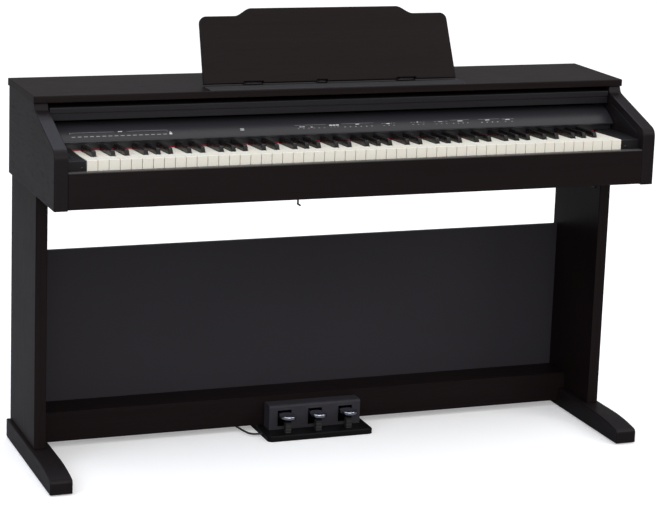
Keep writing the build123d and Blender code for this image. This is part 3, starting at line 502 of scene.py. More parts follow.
@dataclass(frozen=True)
class Print(Finish):
    """Screen-printed ink, a little worn."""

    ink: Colour = (0.33, 0.33, 0.35)

    def dress(self, tree: Tree) -> None:
        """Thin spots in the ink let the panel darken it."""
        thin = (tree.noise((900.0, 900.0, 900.0), 2.0) * 2.0 - 0.6).clamped()
        tree.surface(
            Base_Color=tree.mix(thin * 0.5, self.ink, tuple(part * 0.6 for part in self.ink)),
            Roughness=0.55 + thin * 0.1,
        )
        tree.bump(thin, 0.00001)


@dataclass(frozen=True)
class CircuitLaminate(Finish):
    """Green solder mask with copper tracks under it."""

    mask: Colour = (0.004, 0.050, 0.018)

    def dress(self, tree: Tree) -> None:
        """Tracks are thin bands of two slow waves that cross at right angles."""
        runs = (tree.axis("X") * 900.0 + tree.noise((40.0, 40.0, 40.0), 0.0) * 9.0).wave()
        rows = (tree.axis("Y") * 700.0 + tree.noise((30.0, 30.0, 30.0), 0.0) * 9.0).wave()
        tracks = (runs * rows * 4.0 - 1.6).clamped()
        tree.surface(
            Base_Color=tree.mix(tracks * 0.7, self.mask, (0.02, 0.14, 0.05)),
            Roughness=0.34 + tracks * 0.1,
            Coat_Weight=0.3,
        )
        tree.bump(tracks, 0.00003)


@dataclass(frozen=True)
class StudioFloor(Finish):
    """Plain pale floor."""

    colour: Colour = (0.90, 0.90, 0.905)
    returned: Colour = (0.26, 0.26, 0.27)

    def dress(self, tree: Tree) -> None:
        """Even white with hardly any variation, which throws less light back than it shows."""
        drift = tree.noise((0.6, 0.6, 0.6), 2.0)
        seen = tree.node("ShaderNodeLightPath").outputs["Is Camera Ray"]
        white = tree.mix(drift * 0.3, self.colour, tuple(part * 1.04 for part in self.colour))
        tree.surface(
            Base_Color=tree.mix(seen, self.returned, white),
            Emission_Color=tree.mix(seen, (0.0, 0.0, 0.0), white),
            Emission_Strength=0.30,
            Roughness=0.85,
            Specular_IOR_Level=0.2,
        )


class Finishes:
    """Every finish of the piano."""

    wood_across = Veneer("wood_across", "dark_wood", Grain.ACROSS)
    # Side panels and feet: a lighter, bluer copy of the same dark wood, with the cool light from the left
    # that these faces catch painted into its colour.
    wood_backwards_painted_cool_light = Veneer("wood_backwards_painted_cool_light", "dark_wood", Grain.BACKWARDS, (0.0080, 0.0060, 0.0068),
                            (0.0125, 0.0094, 0.0105), 0.34, 0.13, 0.4, 0.000004)
    wood_upright = Veneer("wood_upright", "dark_wood", Grain.UPRIGHT)
    cover_wood = Veneer("cover_wood", "cover_wood", Grain.ACROSS, (0.0088, 0.0080, 0.0098),
                        (0.0165, 0.0148, 0.0172), 0.30, 0.18)
    board = ClothBoard("woven_board", "black_board")
    panel = SatinPanel("satin_panel", "satin_panel")
    ink = Print("panel_ink", "satin_panel")
    bright_ink = Print("bright_ink", "satin_panel", (0.62, 0.62, 0.64))
    ivory = Ivory("ivory_keys", "ivory_keys")
    ebony = Ebony("ebony_keys", "ebony_keys")
    felt = Felt("red_felt", "red_felt")
    black = Moulding("black_plastic", "black_plastic")
    caps = Moulding("button_caps", "button_plastic", (0.016, 0.016, 0.018), 0.36, 2400.0)
    # Light grey strip on top of the front rail: a painted highlight of the rail's rounded top edge, made as a
    # plastic trim.
    painted_highlight_trim = Moulding("rail_painted_highlight", "grey_trim", (0.062, 0.058, 0.058), 0.40, 2200.0)
    frame_grey = Moulding("frame_plastic", "frame_plastic", (0.035, 0.035, 0.036), 0.5, 900.0)
    track = Moulding("cheek_track", "black_plastic", (0.006, 0.006, 0.007), 0.5, 1200.0)
    ledge = Moulding("ledge_plastic", "ledge_plastic", (0.0150, 0.0145, 0.0170), 0.36, 1800.0)
    base = Moulding("base_black", "base_black", (0.0045, 0.0042, 0.0048), 0.34, 1100.0, 0.00007, 0.2, 0.15)
    box_grey = Moulding("pedal_grey", "pedal_grey", (0.0310, 0.0290, 0.0345), 0.46, 800.0, 0.00012, 0.3, 0.18)
    grips = Rubber("post_rubber", "post_rubber", (0.010, 0.010, 0.010))
    pads = Rubber("pad_rubber", "pad_rubber", (0.022, 0.022, 0.022))
    jacket = Rubber("cable_jacket", "cable_rubber", (0.008, 0.008, 0.0085), 0.42)
    steel = Metal("plated_steel", "steel")
    black_steel = Metal("black_steel", "hinge_steel", (0.045, 0.045, 0.048), 0.38)
    driver = Moulding("driver_black", "speaker_steel", (0.014, 0.014, 0.015), 0.5, 600.0, 0.0001)
    chrome = Metal("pedal_chrome", "pedal_chrome", (0.52, 0.54, 0.63), 0.10, (160.0, 18.0, 160.0), 0.05)
    circuit = CircuitLaminate("circuit_board", "circuit")
    floor = StudioFloor("studio_floor", "")


# ---------------------------------------------------------------- surfaces

def rounded(outline: Outline, setback: float | Sequence[float], steps: int = 4) -> np.ndarray:
    """Round the corners of a closed outline.

    Each corner P is replaced by the curve (1-s)^2 A + 2s(1-s) P + s^2 B, where A and B lie on the
    two sides, the corner's setback away from P, and s runs from 0 to 1.

    Args:
        outline: corner points, in order.
        setback: distance from the corner at which its curve starts, one for all or one each.
        steps: number of straight pieces of a curve.

    Returns:
        The points of the rounded outline.
    """
    corners = np.asarray(outline, float)
    reach = np.broadcast_to(np.asarray(setback, float), (len(corners),))[:, None]
    before = np.roll(corners, 1, axis=0) - corners
    after = np.roll(corners, -1, axis=0) - corners
    start = corners + before / np.linalg.norm(before, axis=1, keepdims=True) * reach
    end = corners + after / np.linalg.norm(after, axis=1, keepdims=True) * reach
    share = np.linspace(0.0, 1.0, steps + 1)[None, :, None]
    rest = 1 - share
    curve = rest ** 2 * start[:, None] + 2 * share * rest * corners[:, None] + share ** 2 * end[:, None]
    points = curve.reshape(-1, 2)
    apart = np.linalg.norm(points - np.roll(points, 1, axis=0), axis=1) > 1e-7
    return points[apart]


def inward(outline: np.ndarray) -> np.ndarray:
    """Direction in which each point of a closed outline moves when the outline shrinks by 1.

    It is (m + n) / (1 + m.n), where m and n are the inward normals of the two sides that meet there.
    """
    side = np.roll(outline, -1, axis=0) - outline
    turned = np.stack((-side[:, 1], side[:, 0]), axis=1)
    area = np.sum(outline[:, 0] * np.roll(outline[:, 1], -1) - np.roll(outline[:, 0], -1) * outline[:, 1])
    normal = np.sign(area) * turned / np.linalg.norm(turned, axis=1, keepdims=True)
    earlier = np.roll(normal, 1, axis=0)
    share = 1.0 + np.sum(normal * earlier, axis=1, keepdims=True)
    return (normal + earlier) / share


class Axis(Enum):
    """Axis that a prism is drawn out along, with the places of the outline's two coordinates."""

    X = (0, 1, 2)
    Y = (1, 0, 2)
    Z = (2, 0, 1)


def prism(outline: np.ndarray, axis: Axis, start: float, end: float, edge: float = 0.0,
          steps: int = 3) -> np.ndarray:
    """Rings of an outline drawn out along an axis, with quarter-round edges at both ends.

    At the angle t the edge's ring is shrunk by edge (1 - sin t) and lies edge (1 - cos t) inside
    the end, so that it rounds the end off.

    Args:
        outline: points of the closed outline, in the two other axes.
        axis: direction of the prism.
        start: where it begins on the axis.
        end: where it ends.
        edge: radius of the rounding.
        steps: number of strips of the rounding.

    Returns:
        Rings of points, one row each.
    """
    turn = np.linspace(0.0, pi / 2, steps + 1) if edge else np.array([pi / 2])
    shrink = np.concatenate((edge * (1 - np.sin(turn)), edge * (1 - np.sin(turn[::-1]))))
    along = np.concatenate((start + edge * (1 - np.cos(turn)), end - edge * (1 - np.cos(turn[::-1]))))
    if not edge:
        along = np.array([start, end])
        shrink = np.zeros(2)
    flat = outline[None] + shrink[:, None, None] * inward(outline)[None]
    rings = np.empty((len(along), len(outline), 3))
    run, first, second = axis.value
    rings[..., run] = along[:, None]
    rings[..., first] = flat[..., 0]
    rings[..., second] = flat[..., 1]
    return rings


def lathe(centre: Sequence[float], profile: Outline, around: int = 32, axis: Axis = Axis.Z) -> np.ndarray:
    """Rings of a profile turned about an axis.

    A ring has the points centre + radius (cos a, sin a), at the profile's height on the axis.

    Args:
        centre: point on the axis that the heights are counted from.
        profile: (radius, height) of each ring; no radius is 0.
        around: points in a ring.
        axis: axis of turning.

    Returns:
        Rings of points.
    """
    radius, height = np.asarray(profile, float).T
    angle = np.linspace(0.0, 2 * pi, around, endpoint=False)
    run, first, second = axis.value
    rings = np.empty((len(radius), around, 3))
    rings[..., run] = centre[run] + height[:, None]
    rings[..., first] = centre[first] + radius[:, None] * np.cos(angle)
    rings[..., second] = centre[second] + radius[:, None] * np.sin(angle)
    return rings


@dataclass
class Shape:
    """Closed skins gathered into one mesh."""

    points: list[np.ndarray] = field(default_factory=list)
    faces: list[list[int]] = field(default_factory=list)
    count: int = 0

    def skin(self, rings: np.ndarray) -> "Shape":
        """Add one closed skin over a row of rings, capped at both ends.

        Neighbouring rings i and i+1 are joined by the quads (i,j) (i,j+1) (i+1,j+1) (i+1,j), and
        all the faces are turned round if the skin's signed volume is negative.

        Args:
            rings: array of rings, points and coordinates.

        Returns:
            This shape.
        """
        rows, across, _ = rings.shape
        row = np.arange(rows - 1)[:, None] * across
        here = np.arange(across)[None]
        there = (here + 1) % across
        corners = (row + here, row + there, row + across + there, row + across + here)
        quads = np.stack(corners, axis=-1).reshape(-1, 4)
        flat = rings.reshape(-1, 3)
        middle = flat - flat.mean(axis=0)
        low_cap, high_cap = np.arange(across)[::-1], (rows - 1) * across + np.arange(across)
        triangles = [quads[:, [0, 1, 2]], quads[:, [0, 2, 3]]]
        for cap in (low_cap, high_cap):
            triangles.append(np.stack((np.full(across - 2, cap[0]), cap[1:-1], cap[2:]), axis=1))
        first, second, third = (middle[np.concatenate(triangles)[:, corner]] for corner in range(3))
        turn = 1 if np.sum(first * np.cross(second, third)) > 0 else -1
        for face in (*quads.tolist(), low_cap.tolist(), high_cap.tolist()):
            self.faces.append([index + self.count for index in face[::turn]])
        self.points.append(flat)
        self.count += len(flat)
        return self

    def board(self, low: Sequence[float], high: Sequence[float], edge: float, axis: Axis = Axis.X,
              steps: int = 2) -> "Shape":
        """Add a board between two corners, with all its edges rounded.

        Args:
            low: lowest corner.
            high: highest corner.
            edge: radius of the rounding.
            axis: the board's long direction.
            steps: strips in each rounding.

        Returns:
            This shape.
        """
        run, first, second = axis.value
        outline = rounded(((low[first], low[second]), (high[first], low[second]),
                           (high[first], high[second]), (low[first], high[second])), edge * 1.3, steps)
        return self.skin(prism(outline, axis, low[run], high[run], edge, steps))

    def make(self, name: str, finish: Finish, body: str = "root", nodes: Iterable[str] = (),
             sharp: float = 48.0) -> bpy.types.Object:
        """Make the mesh object, give it its finish and hang it on its body.

        Args:
            name: name of the piece.
            finish: what it is finished in.
            body: body of the frame that it moves with.
            nodes: nodes of the frame that it stands for.
            sharp: angle in degrees past which an edge stays crisp.

        Returns:
            The finished object.
        """
        mesh = bpy.data.meshes.new(name)
        mesh.from_pydata(np.concatenate(self.points).tolist(), [], self.faces)
        mesh.polygons.foreach_set("use_smooth", np.ones(len(mesh.polygons), bool))
        mesh.set_sharp_from_angle(angle=radians(sharp))
        mesh.materials.append(finish.material())
        made = bpy.data.objects.new(name, mesh)
        bpy.context.scene.collection.objects.link(made)
        weighted = made.modifiers.new("even_normals", "WEIGHTED_NORMAL")
        weighted.mode = "FACE_AREA"
        weighted.keep_sharp = True
        hang(made, body, nodes)
        log.info("%s: %d faces on %s", name, len(mesh.polygons), body)
        return made


def hang(made: bpy.types.Object, body: str, nodes: Iterable[str]) -> None:
    """Hang a piece on its body of the frame and hide the nodes that it stands for."""
    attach(made, body)
    if nodes:
        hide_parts(*nodes)


def dress_nodes(finish: Finish, *names: str) -> None:
    """Give nodes of the frame, which keep their own mesh, a finish."""
    for name in names:
        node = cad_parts[name]
        if not node.material_slots:
            node.data.materials.append(None)
        for slot in node.material_slots:
            slot.material = finish.material()
        log.info("%s: dressed in %s", name, finish.name)


# ---------------------------------------------------------------- cabinet

@dataclass
class Cabinet:
    """Top, side panels with their sloping cheeks, front rail, and the boards behind."""

    neck_distance: float = 0.170
    neck_height: float = 0.789
    shoulder_distance: float = 0.176
    cheek_top: float = 0.733
    cheek_setback: float = 0.0175
    edge: float = 0.0013
    track_width: float = 0.010
    track_thickness: float = 0.0012

    def build(self) -> None:
        """Make every piece of the cabinet."""
        self.top()
        for side, name in ((-1, "side_panel_left"), (1, "side_panel_right")):
            self.side_panel(side, name)
        self.rail()
        self.cheek_tracks()
        # The rail's top strip is dressed in light grey: a painted highlight along the front rail's top edge.
        dress_nodes(Finishes.painted_highlight_trim, "front_rail_trim")
        dress_nodes(Finishes.wood_across, "bottom_board")
        dress_nodes(Finishes.board, "back_board")
        dress_nodes(Finishes.black, "rear_socket_plate", "jack_box")
        dress_nodes(Finishes.black_steel, "headphone_hook")
        dress_nodes(Finishes.steel, "hammer_weights")
        dress_nodes(Finishes.driver, "speakers")
        dress_nodes(Finishes.circuit, "circuit_board")

    def top(self) -> None:
        """Top board, its long front edge softened."""
        low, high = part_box("top_panel")
        outline = rounded(((low[1], low[2]), (high[1], low[2]), (high[1], high[2]), (low[1], high[2])),
                          (0.0022, 0.001, 0.0015, 0.0026), 3)
        Shape().skin(prism(outline, Axis.X, low[0], high[0], self.edge)).make(
            "top_board", Finishes.wood_across, nodes=("top_panel",))

    def side_panel(self, side: int, name: str) -> None:
        """Side panel: cheek slope up to the neck, then the tall part under the top.

        Args:
            side: -1 for the left panel, 1 for the right one.
            name: its node.
        """
        low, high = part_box(name)
        outline = rounded(
            ((low[1], low[2]), (low[1], self.cheek_top), (depth(self.neck_distance), self.neck_height),
             (depth(self.shoulder_distance), high[2]), (high[1], high[2]), (high[1], low[2])),
            (0.0015, self.cheek_setback, 0.006, 0.0, 0.0, 0.003), 6)
        # Finished in the lighter, bluer copy of the wood, which paints the cool left light into the panel's
        # colour.
        Shape().skin(prism(outline, Axis.X, low[0], high[0], 0.0019)).make(
            f"{name}_board", Finishes.wood_backwards_painted_cool_light, nodes=(name,), sharp=60)

    def rail(self) -> None:
        """Front rail between the side panels."""
        low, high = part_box("front_rail")
        Shape().board(low, high, 0.0012).make("front_rail_board", Finishes.wood_across, nodes=("front_rail",))

    def cheek_tracks(self) -> None:
        """Dark guide strips on the inner faces of the cheeks, parallel to the slope."""
        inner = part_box("side_panel_right")[0][0]
        slope = (self.neck_height - self.cheek_top) / self.neck_distance
        start, end = 0.156, 0.030
        rise = 0.7655
        corners = []
        for distance, drop in ((start, 0.0), (end, 0.0), (end, self.track_width), (start, self.track_width)):
            corners.append((depth(distance), rise - (start - distance) * slope - drop))
        outline = rounded(corners, 0.002, 3)
        shape = Shape()
        for side in (-1, 1):
            outer, face = side * (inner + 0.0004), side * (inner - self.track_thickness)
            shape.skin(prism(outline, Axis.X, min(outer, face), max(outer, face), 0.0003, 2))
        shape.make("cheek_tracks", Finishes.track)


# ---------------------------------------------------------------- keyboard

@dataclass
class Keyboard:
    """White and black keys with softened edges, the felt behind them and the end blocks."""

    count: int = 52
    pitch: float = 0.0236
    gap: float = 0.0009
    front: float = 0.020
    rear: float = 0.152
    front_height: float = 0.710
    slope: float = tan(radians(2.6))
    head: float = 0.0235
    lip: float = 0.0026
    lip_overhang: float = 0.00015
    softness: float = 0.0009
    stick_end: float = 0.244
    stick_low: float = 0.6845
    stick_high: float = 0.6955
    black_width: float = 0.0105
    black_front: float = 0.062
    black_rise: float = 0.012
    black_shift: float = 0.0032
    slot: float = 0.00635
    middle_octave: int = 23
    letters: str = "ABCDEFG"

    def letter(self, index: int) -> str:
        """Letter of a white key counted from the left."""
        return self.letters[index % len(self.letters)]

    def left(self, index: int) -> float:
        """X where the pitch of a white key begins."""
        return (index - self.count / 2) * self.pitch

    def has_black(self, index: int) -> bool:
        """True where a black key stands at the right of this white key."""
        return 0 <= index < self.count - 1 and self.letter(index) in "ACDFG"

    def black_centre(self, index: int) -> float:
        """X of the black key at the right of a white key."""
        shift = {"A": 1, "D": 1, "C": -1, "F": -1, "G": 0}[self.letter(index)]
        return self.left(index) + self.pitch + shift * self.black_shift

    def top_at(self, distance: float | np.ndarray) -> float | np.ndarray:
        """Height of the white tops at a distance behind the front plane."""
        return self.front_height - (distance - self.front) * self.slope

    def build(self) -> None:
        """Make the keys body by body, then their surroundings."""
        middle = range(self.middle_octave, self.middle_octave + 7)
        outside = [index for index in range(self.count) if index not in middle]
        self.white_keys("white_keys_moulded", outside, "white_keys", ("white_keys",))
        blacks = [index for index in range(self.count) if self.has_black(index)]
        self.black_keys("black_keys_moulded", [index for index in blacks if index not in middle],
                        "black_keys", ("black_keys",))
        for index in middle:
            name = f"key_{self.letter(index).lower()}"
            self.white_keys(f"{name}_moulded", [index], name, (name,))
            if self.has_black(index):
                self.black_keys(f"{name}_sharp_moulded", [index], f"{name}_sharp", (f"{name}_sharp",))
        self.felt()
        self.end_blocks()
        self.buttons()
        dress_nodes(Finishes.frame_grey, "key_frame")

    def plan(self, index: int) -> np.ndarray:
        """Outline of a white key seen from above: wide head, and notches beside the black keys."""
        low = self.left(index) + self.gap / 2
        high = low + self.pitch - self.gap
        front, step, back = depth(self.front), depth(self.black_front - 0.001), depth(self.rear)
        corners = [(low, front, 0.0011), (high, front, 0.0011)]
        if self.has_black(index):
            waist = self.black_centre(index) - self.slot
            corners += [(high, step, 0.0009), (waist, step, 0.0), (waist, back, 0.0)]
        else:
            corners.append((high, back, 0.0))
        if self.has_black(index - 1):
            waist = self.black_centre(index - 1) + self.slot
            corners += [(waist, back, 0.0), (waist, step, 0.0), (low, step, 0.0009)]
        else:
            corners.append((low, back, 0.0))
        table = np.array(corners)
        return rounded(table[:, :2], table[:, 2], 3)

    def white_keys(self, name: str, indices: Iterable[int], body: str, nodes: tuple[str, ...]) -> None:
        """White keys: a head whose top lips over its front and sides, and a stick to the pivot.

        A ring of the head is the plan, shrunk by its level's inset and lowered by its drop from the
        sloping top.

        Args:
            name: name of the piece.
            indices: white keys counted from the left.
            body: body they move with.
            nodes: nodes they stand for.
        """
        soft = self.softness
        levels = ((soft, 0.0), (soft * 0.3, soft * 0.28), (0.0, soft), (0.0, self.lip),
                  (self.lip_overhang, self.lip + 0.0005), (self.lip_overhang, self.head))
        shape = Shape()
        for index in indices:
            plan = self.plan(index)
            shrink = inward(plan)
            rings = np.empty((len(levels), len(plan), 3))
            for ring, (inset, drop) in zip(rings, levels):
                ring[:, :2] = plan + inset * shrink
                ring[:, 2] = self.top_at(ring[:, 1] - FRONT_PLANE) - drop
            shape.skin(rings)
            waist = self.pitch * 0.24
            centre = self.left(index) + self.pitch / 2 + self.lean(index)
            shape.board((centre - waist, depth(self.rear - 0.006), self.stick_low),
                        (centre + waist, depth(self.stick_end), self.stick_high), 0.0004, Axis.Y, 1)
        shape.make(name, Finishes.ivory, body, nodes, 40)

    def lean(self, index: int) -> float:
        """Sideways shift of a white key's stick, away from its black neighbours."""
        if self.has_black(index):
            right = self.black_centre(index) - self.slot
        else:
            right = self.left(index) + self.pitch
        left = self.black_centre(index - 1) + self.slot if self.has_black(index - 1) else self.left(index)
        return (left + right) / 2 - self.left(index) - self.pitch / 2

    def black_keys(self, name: str, indices: Iterable[int], body: str, nodes: tuple[str, ...]) -> None:
        """Black keys: a narrow cap that tapers upwards behind a sloping, rounded front.

        A ring stands across the key. Its top follows (1 - (1 - s)^3), with s the share of the front
        slope that is passed, and the flanks lean in towards the top.

        Args:
            name: name of the piece.
            indices: white keys at whose right the black ones stand.
            body: body they move with.
            nodes: nodes they stand for.
        """
        half = self.black_width / 2
        slope_length = 0.0085
        share = np.array((0.0, 0.06, 0.2, 0.4, 0.62, 0.84, 1.0))
        distance = np.concatenate((self.black_front + share * slope_length, (self.rear - 0.0008, self.rear)))
        share = np.concatenate((share, (1.0, 1.0)))
        climb = 1 - (1 - share) ** 2.4
        base = self.top_at(distance) - 0.004
        top = self.top_at(distance) - 0.0005 + climb * (self.black_rise + 0.0004)
        top[-1] -= 0.001
        across = np.array((-1.0, -1.0, -0.87, -0.80, -0.66, 0.66, 0.80, 0.87, 1.0, 1.0))
        lift = np.array((-1.4, 0.0, 0.86, 0.965, 1.0, 1.0, 0.965, 0.86, 0.0, -1.4))
        shape = Shape()
        for index in indices:
            rings = np.empty((len(distance), len(across), 3))
            spread = np.where(lift > 0.5, 1 - 0.02 * climb[:, None], 1.0)
            rings[..., 0] = self.black_centre(index) + half * across * spread
            rings[..., 1] = depth(distance)[:, None]
            tall = (top - base)[:, None]
            rings[..., 2] = np.where(lift < 0, self.stick_low, base[:, None] + tall * np.maximum(lift, 0.0))
            shape.skin(rings)
            shape.board((self.black_centre(index) - half * 0.9, depth(self.rear - 0.006), self.stick_low),
                        (self.black_centre(index) + half * 0.9, depth(self.stick_end), self.stick_high),
                        0.0004, Axis.Y, 1)
        shape.make(name, Finishes.ebony, body, nodes, 50)

    def felt(self) -> None:
        """Felt strip behind the keys: its lower edge is fuzzy, a sum of two short waves along X."""
        low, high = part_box("key_felt_strip")
        along = np.linspace(low[0], high[0], 700)
        fuzz = 0.00018 * (np.sin(along * 2100.0) + np.sin(along * 3377.0 + 1.0))
        profile = np.array(((0, 0), (1, 0), (1, 0.9), (0.85, 1), (0.15, 1), (0, 0.9)), float)
        rings = np.empty((len(along), len(profile), 3))
        rings[..., 0] = along[:, None]
        rings[..., 1] = low[1] + (high[1] - low[1]) * profile[:, 0]
        rings[..., 2] = low[2] + (high[2] - low[2]) * profile[:, 1]
        rings[..., 2] += np.where(profile[:, 1] == 0, fuzz[:, None] + 0.0004, 0.0)
        Shape().skin(rings).make("felt_strip_pressed", Finishes.felt, nodes=("key_felt_strip",))

    def end_blocks(self) -> None:
        """Blocks beside the outer keys, each with a small screw low on its front."""
        low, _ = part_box("key_end_blocks")
        inner = self.count * self.pitch / 2 + 0.002
        screws = Shape()
        for side in (-1, 1):
            centre = (side * (inner + 0.008), low[1], low[2] + 0.064)
            screws.skin(lathe(centre, ((0.0026, 0.0), (0.0026, -0.0006), (0.0019, -0.0011), (0.0009, -0.0012),
                                       (0.0007, -0.0004)), 18, Axis.Y))
        dress_nodes(Finishes.black, "key_end_blocks")
        screws.make("end_block_screws", Finishes.black_steel)

    def buttons(self) -> None:
        """Round caps with a shallow dish in the top, each in a thin ring."""
        for name in ("power_button", "volume_down_button", "volume_up_button"):
            low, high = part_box(name)
            radius = (high[0] - low[0]) / 2
            centre = ((low[0] + high[0]) / 2, (low[1] + high[1]) / 2, low[2])
            tall = high[2] - low[2]
            profile = ((radius, 0.0), (radius, tall - 0.0008), (radius - 0.0003, tall - 0.0002),
                       (radius - 0.0008, tall), (radius - 0.0013, tall - 0.00015),
                       (radius * 0.4, tall - 0.0004), (radius * 0.1, tall - 0.00045))
            Shape().skin(lathe(centre, profile, 40)).make(f"{name}_cap", Finishes.caps, name, (name,))


# ---------------------------------------------------------------- control panel

@dataclass
class Mark:
    """A row of small printed marks on the control panel."""

    start: float
    end: float
    number: int
    up: float
    tall: float
    fill: float = 0.6
    bright: bool = False


@dataclass
class ControlPanel:
    """Curved satin panel above the keys, with generic printed marks."""

    lip_distance: float = 0.1405
    lip_height: float = 0.7235
    rear_distance: float = 0.200
    rear_height: float = 0.757
    wall: float = 0.003
    drop_distance: float = 0.1535
    bulge: float = 0.0042
    ink_lift: float = 0.00005
    arc_steps: int = 28

    def arc(self, share: np.ndarray) -> tuple[np.ndarray, np.ndarray]:
        """Points of the panel's face: the chord from lip to rear, raised by 4 bulge s (1 - s).

        Args:
            share: part of the way from the lip to the rear edge.

        Returns:
            The Y and Z of the points.
        """
        start = np.array((depth(self.lip_distance + 0.002), self.lip_height + 0.003))
        end = np.array((depth(self.rear_distance), self.rear_height))
        run = end - start
        normal = np.array((-run[1], run[0])) / np.linalg.norm(run)
        rise = 4 * self.bulge * share * (1 - share)
        place = start + share[..., None] * run + rise[..., None] * normal
        return place[..., 0], place[..., 1]

    def build(self) -> None:
        """Make the shell and its printing."""
        self.shell()
        self.printing()

    def shell(self) -> None:
        """Shell: rounded lip, convex face, and the drop wall down to the felt."""
        low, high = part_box("control_panel")
        y, z = self.arc(np.linspace(0.0, 1.0, self.arc_steps))
        nose_angle = np.linspace(radians(-70), radians(95), 9)[::-1]
        nose = np.stack((depth(self.lip_distance + 0.003) - 0.003 * np.cos(nose_angle),
                         self.lip_height + 0.0032 * np.sin(nose_angle)), axis=1)
        inner = np.stack((y, z), axis=1)[::-1] + np.array((0.0012, -self.wall))
        inner = inner[(inner[:, 0] > depth(self.lip_distance + 0.009))]
        drop = depth(self.drop_distance)
        lower = np.array(((drop + self.wall, self.lip_height), (drop + self.wall, low[2]), (drop, low[2]),
                          (drop, self.lip_height - 0.003)))
        outline = np.concatenate((np.stack((y, z), axis=1), inner, lower, nose[::-1]))
        Shape().skin(prism(outline, Axis.X, low[0], high[0])).make(
            "control_panel_shell", Finishes.panel, nodes=("control_panel",), sharp=35)

    def marks(self) -> list[Mark]:
        """Rows of marks, all generic: short bars, ticks, and lines that join them."""
        rows = [
            Mark(-0.615, -0.402, 16, 0.155, 0.0015, 0.62), Mark(-0.615, -0.519, 1, 0.335, 0.0005, 1.0),
            Mark(-0.490, -0.402, 1, 0.335, 0.0005, 1.0), Mark(-0.510, -0.500, 2, 0.335, 0.0020, 0.8, True),
            Mark(-0.615, -0.6145, 1, 0.30, 0.0040, 1.0), Mark(-0.4025, -0.402, 1, 0.30, 0.0040, 1.0),
            Mark(-0.399, -0.392, 1, 0.175, 0.0045, 0.8, True),
            Mark(-0.397, -0.394, 1, 0.245, 0.0014, 1.0, True),
            Mark(-0.239, -0.230, 1, 0.275, 0.0010, 1.0, True),
            Mark(-0.239, -0.230, 3, 0.215, 0.0026, 0.7, True),
            Mark(-0.112, -0.085, 1, 0.335, 0.0004, 1.0), Mark(-0.085, -0.040, 1, 0.335, 0.0004, 1.0),
            Mark(-0.104, -0.090, 2, 0.26, 0.0014, 0.8, True), Mark(-0.112, -0.040, 6, 0.19, 0.0010, 0.25),
            Mark(-0.078, -0.072, 1, 0.235, 0.0030, 0.8), Mark(-0.034, -0.010, 3, 0.29, 0.0026, 0.85, True),
            Mark(-0.034, -0.010, 3, 0.21, 0.0014, 0.3), Mark(-0.004, 0.030, 1, 0.335, 0.0004, 1.0),
            Mark(0.036, 0.072, 1, 0.335, 0.0004, 1.0), Mark(0.028, 0.038, 1, 0.30, 0.0018, 0.9, True),
            Mark(-0.004, 0.072, 6, 0.19, 0.0018, 0.22), Mark(0.089, 0.124, 5, 0.29, 0.0006, 0.6),
            Mark(0.101, 0.110, 1, 0.27, 0.0018, 0.9, True), Mark(0.089, 0.124, 3, 0.19, 0.0010, 0.3),
            Mark(0.158, 0.195, 5, 0.29, 0.0006, 0.5), Mark(0.174, 0.178, 1, 0.30, 0.0022, 0.8, True),
            Mark(0.158, 0.195, 3, 0.19, 0.0010, 0.3), Mark(0.214, 0.251, 4, 0.29, 0.0006, 0.6),
            Mark(0.226, 0.236, 1, 0.28, 0.0018, 0.9), Mark(0.214, 0.251, 3, 0.18, 0.0010, 0.25),
            Mark(0.256, 0.302, 1, 0.33, 0.0004, 1.0), Mark(0.272, 0.286, 1, 0.28, 0.0018, 0.9, True),
            Mark(0.256, 0.302, 4, 0.18, 0.0018, 0.2), Mark(0.3245, 0.376, 1, 0.32, 0.0004, 1.0),
            Mark(0.340, 0.352, 1, 0.28, 0.0018, 0.9, True), Mark(0.3245, 0.376, 4, 0.18, 0.0018, 0.28),
            Mark(0.381, 0.413, 3, 0.30, 0.0006, 0.7), Mark(0.390, 0.402, 1, 0.27, 0.0018, 0.9, True),
            Mark(0.381, 0.413, 2, 0.18, 0.0012, 0.2),
        ]
        return rows

    def printing(self) -> None:
        """Thin raised ink: each mark is a pad that lies on the face's arc."""
        plain, bright = Shape(), Shape()
        face_length = self.rear_distance - self.lip_distance
        for row in self.marks():
            step = (row.end - row.start) / row.number
            for number in range(row.number):
                middle = row.start + (number + 0.5) * step
                half = step * row.fill / 2
                share = row.up + np.array((-0.5, 0.5)) * row.tall / face_length
                y, z = self.arc(share)
                ring = np.array(((middle - half, y[0], z[0]), (middle + half, y[0], z[0]),
                                 (middle + half, y[1], z[1]), (middle - half, y[1], z[1])))
                lift = np.array((0.0, -0.4, 0.9)) * self.ink_lift
                (bright if row.bright else plain).skin(np.stack((ring - lift, ring + lift * 1.6)))
        plain.make("panel_marks", Finishes.ink)
        bright.make("panel_bright_marks", Finishes.bright_ink)


# ---------------------------------------------------------------- key cover

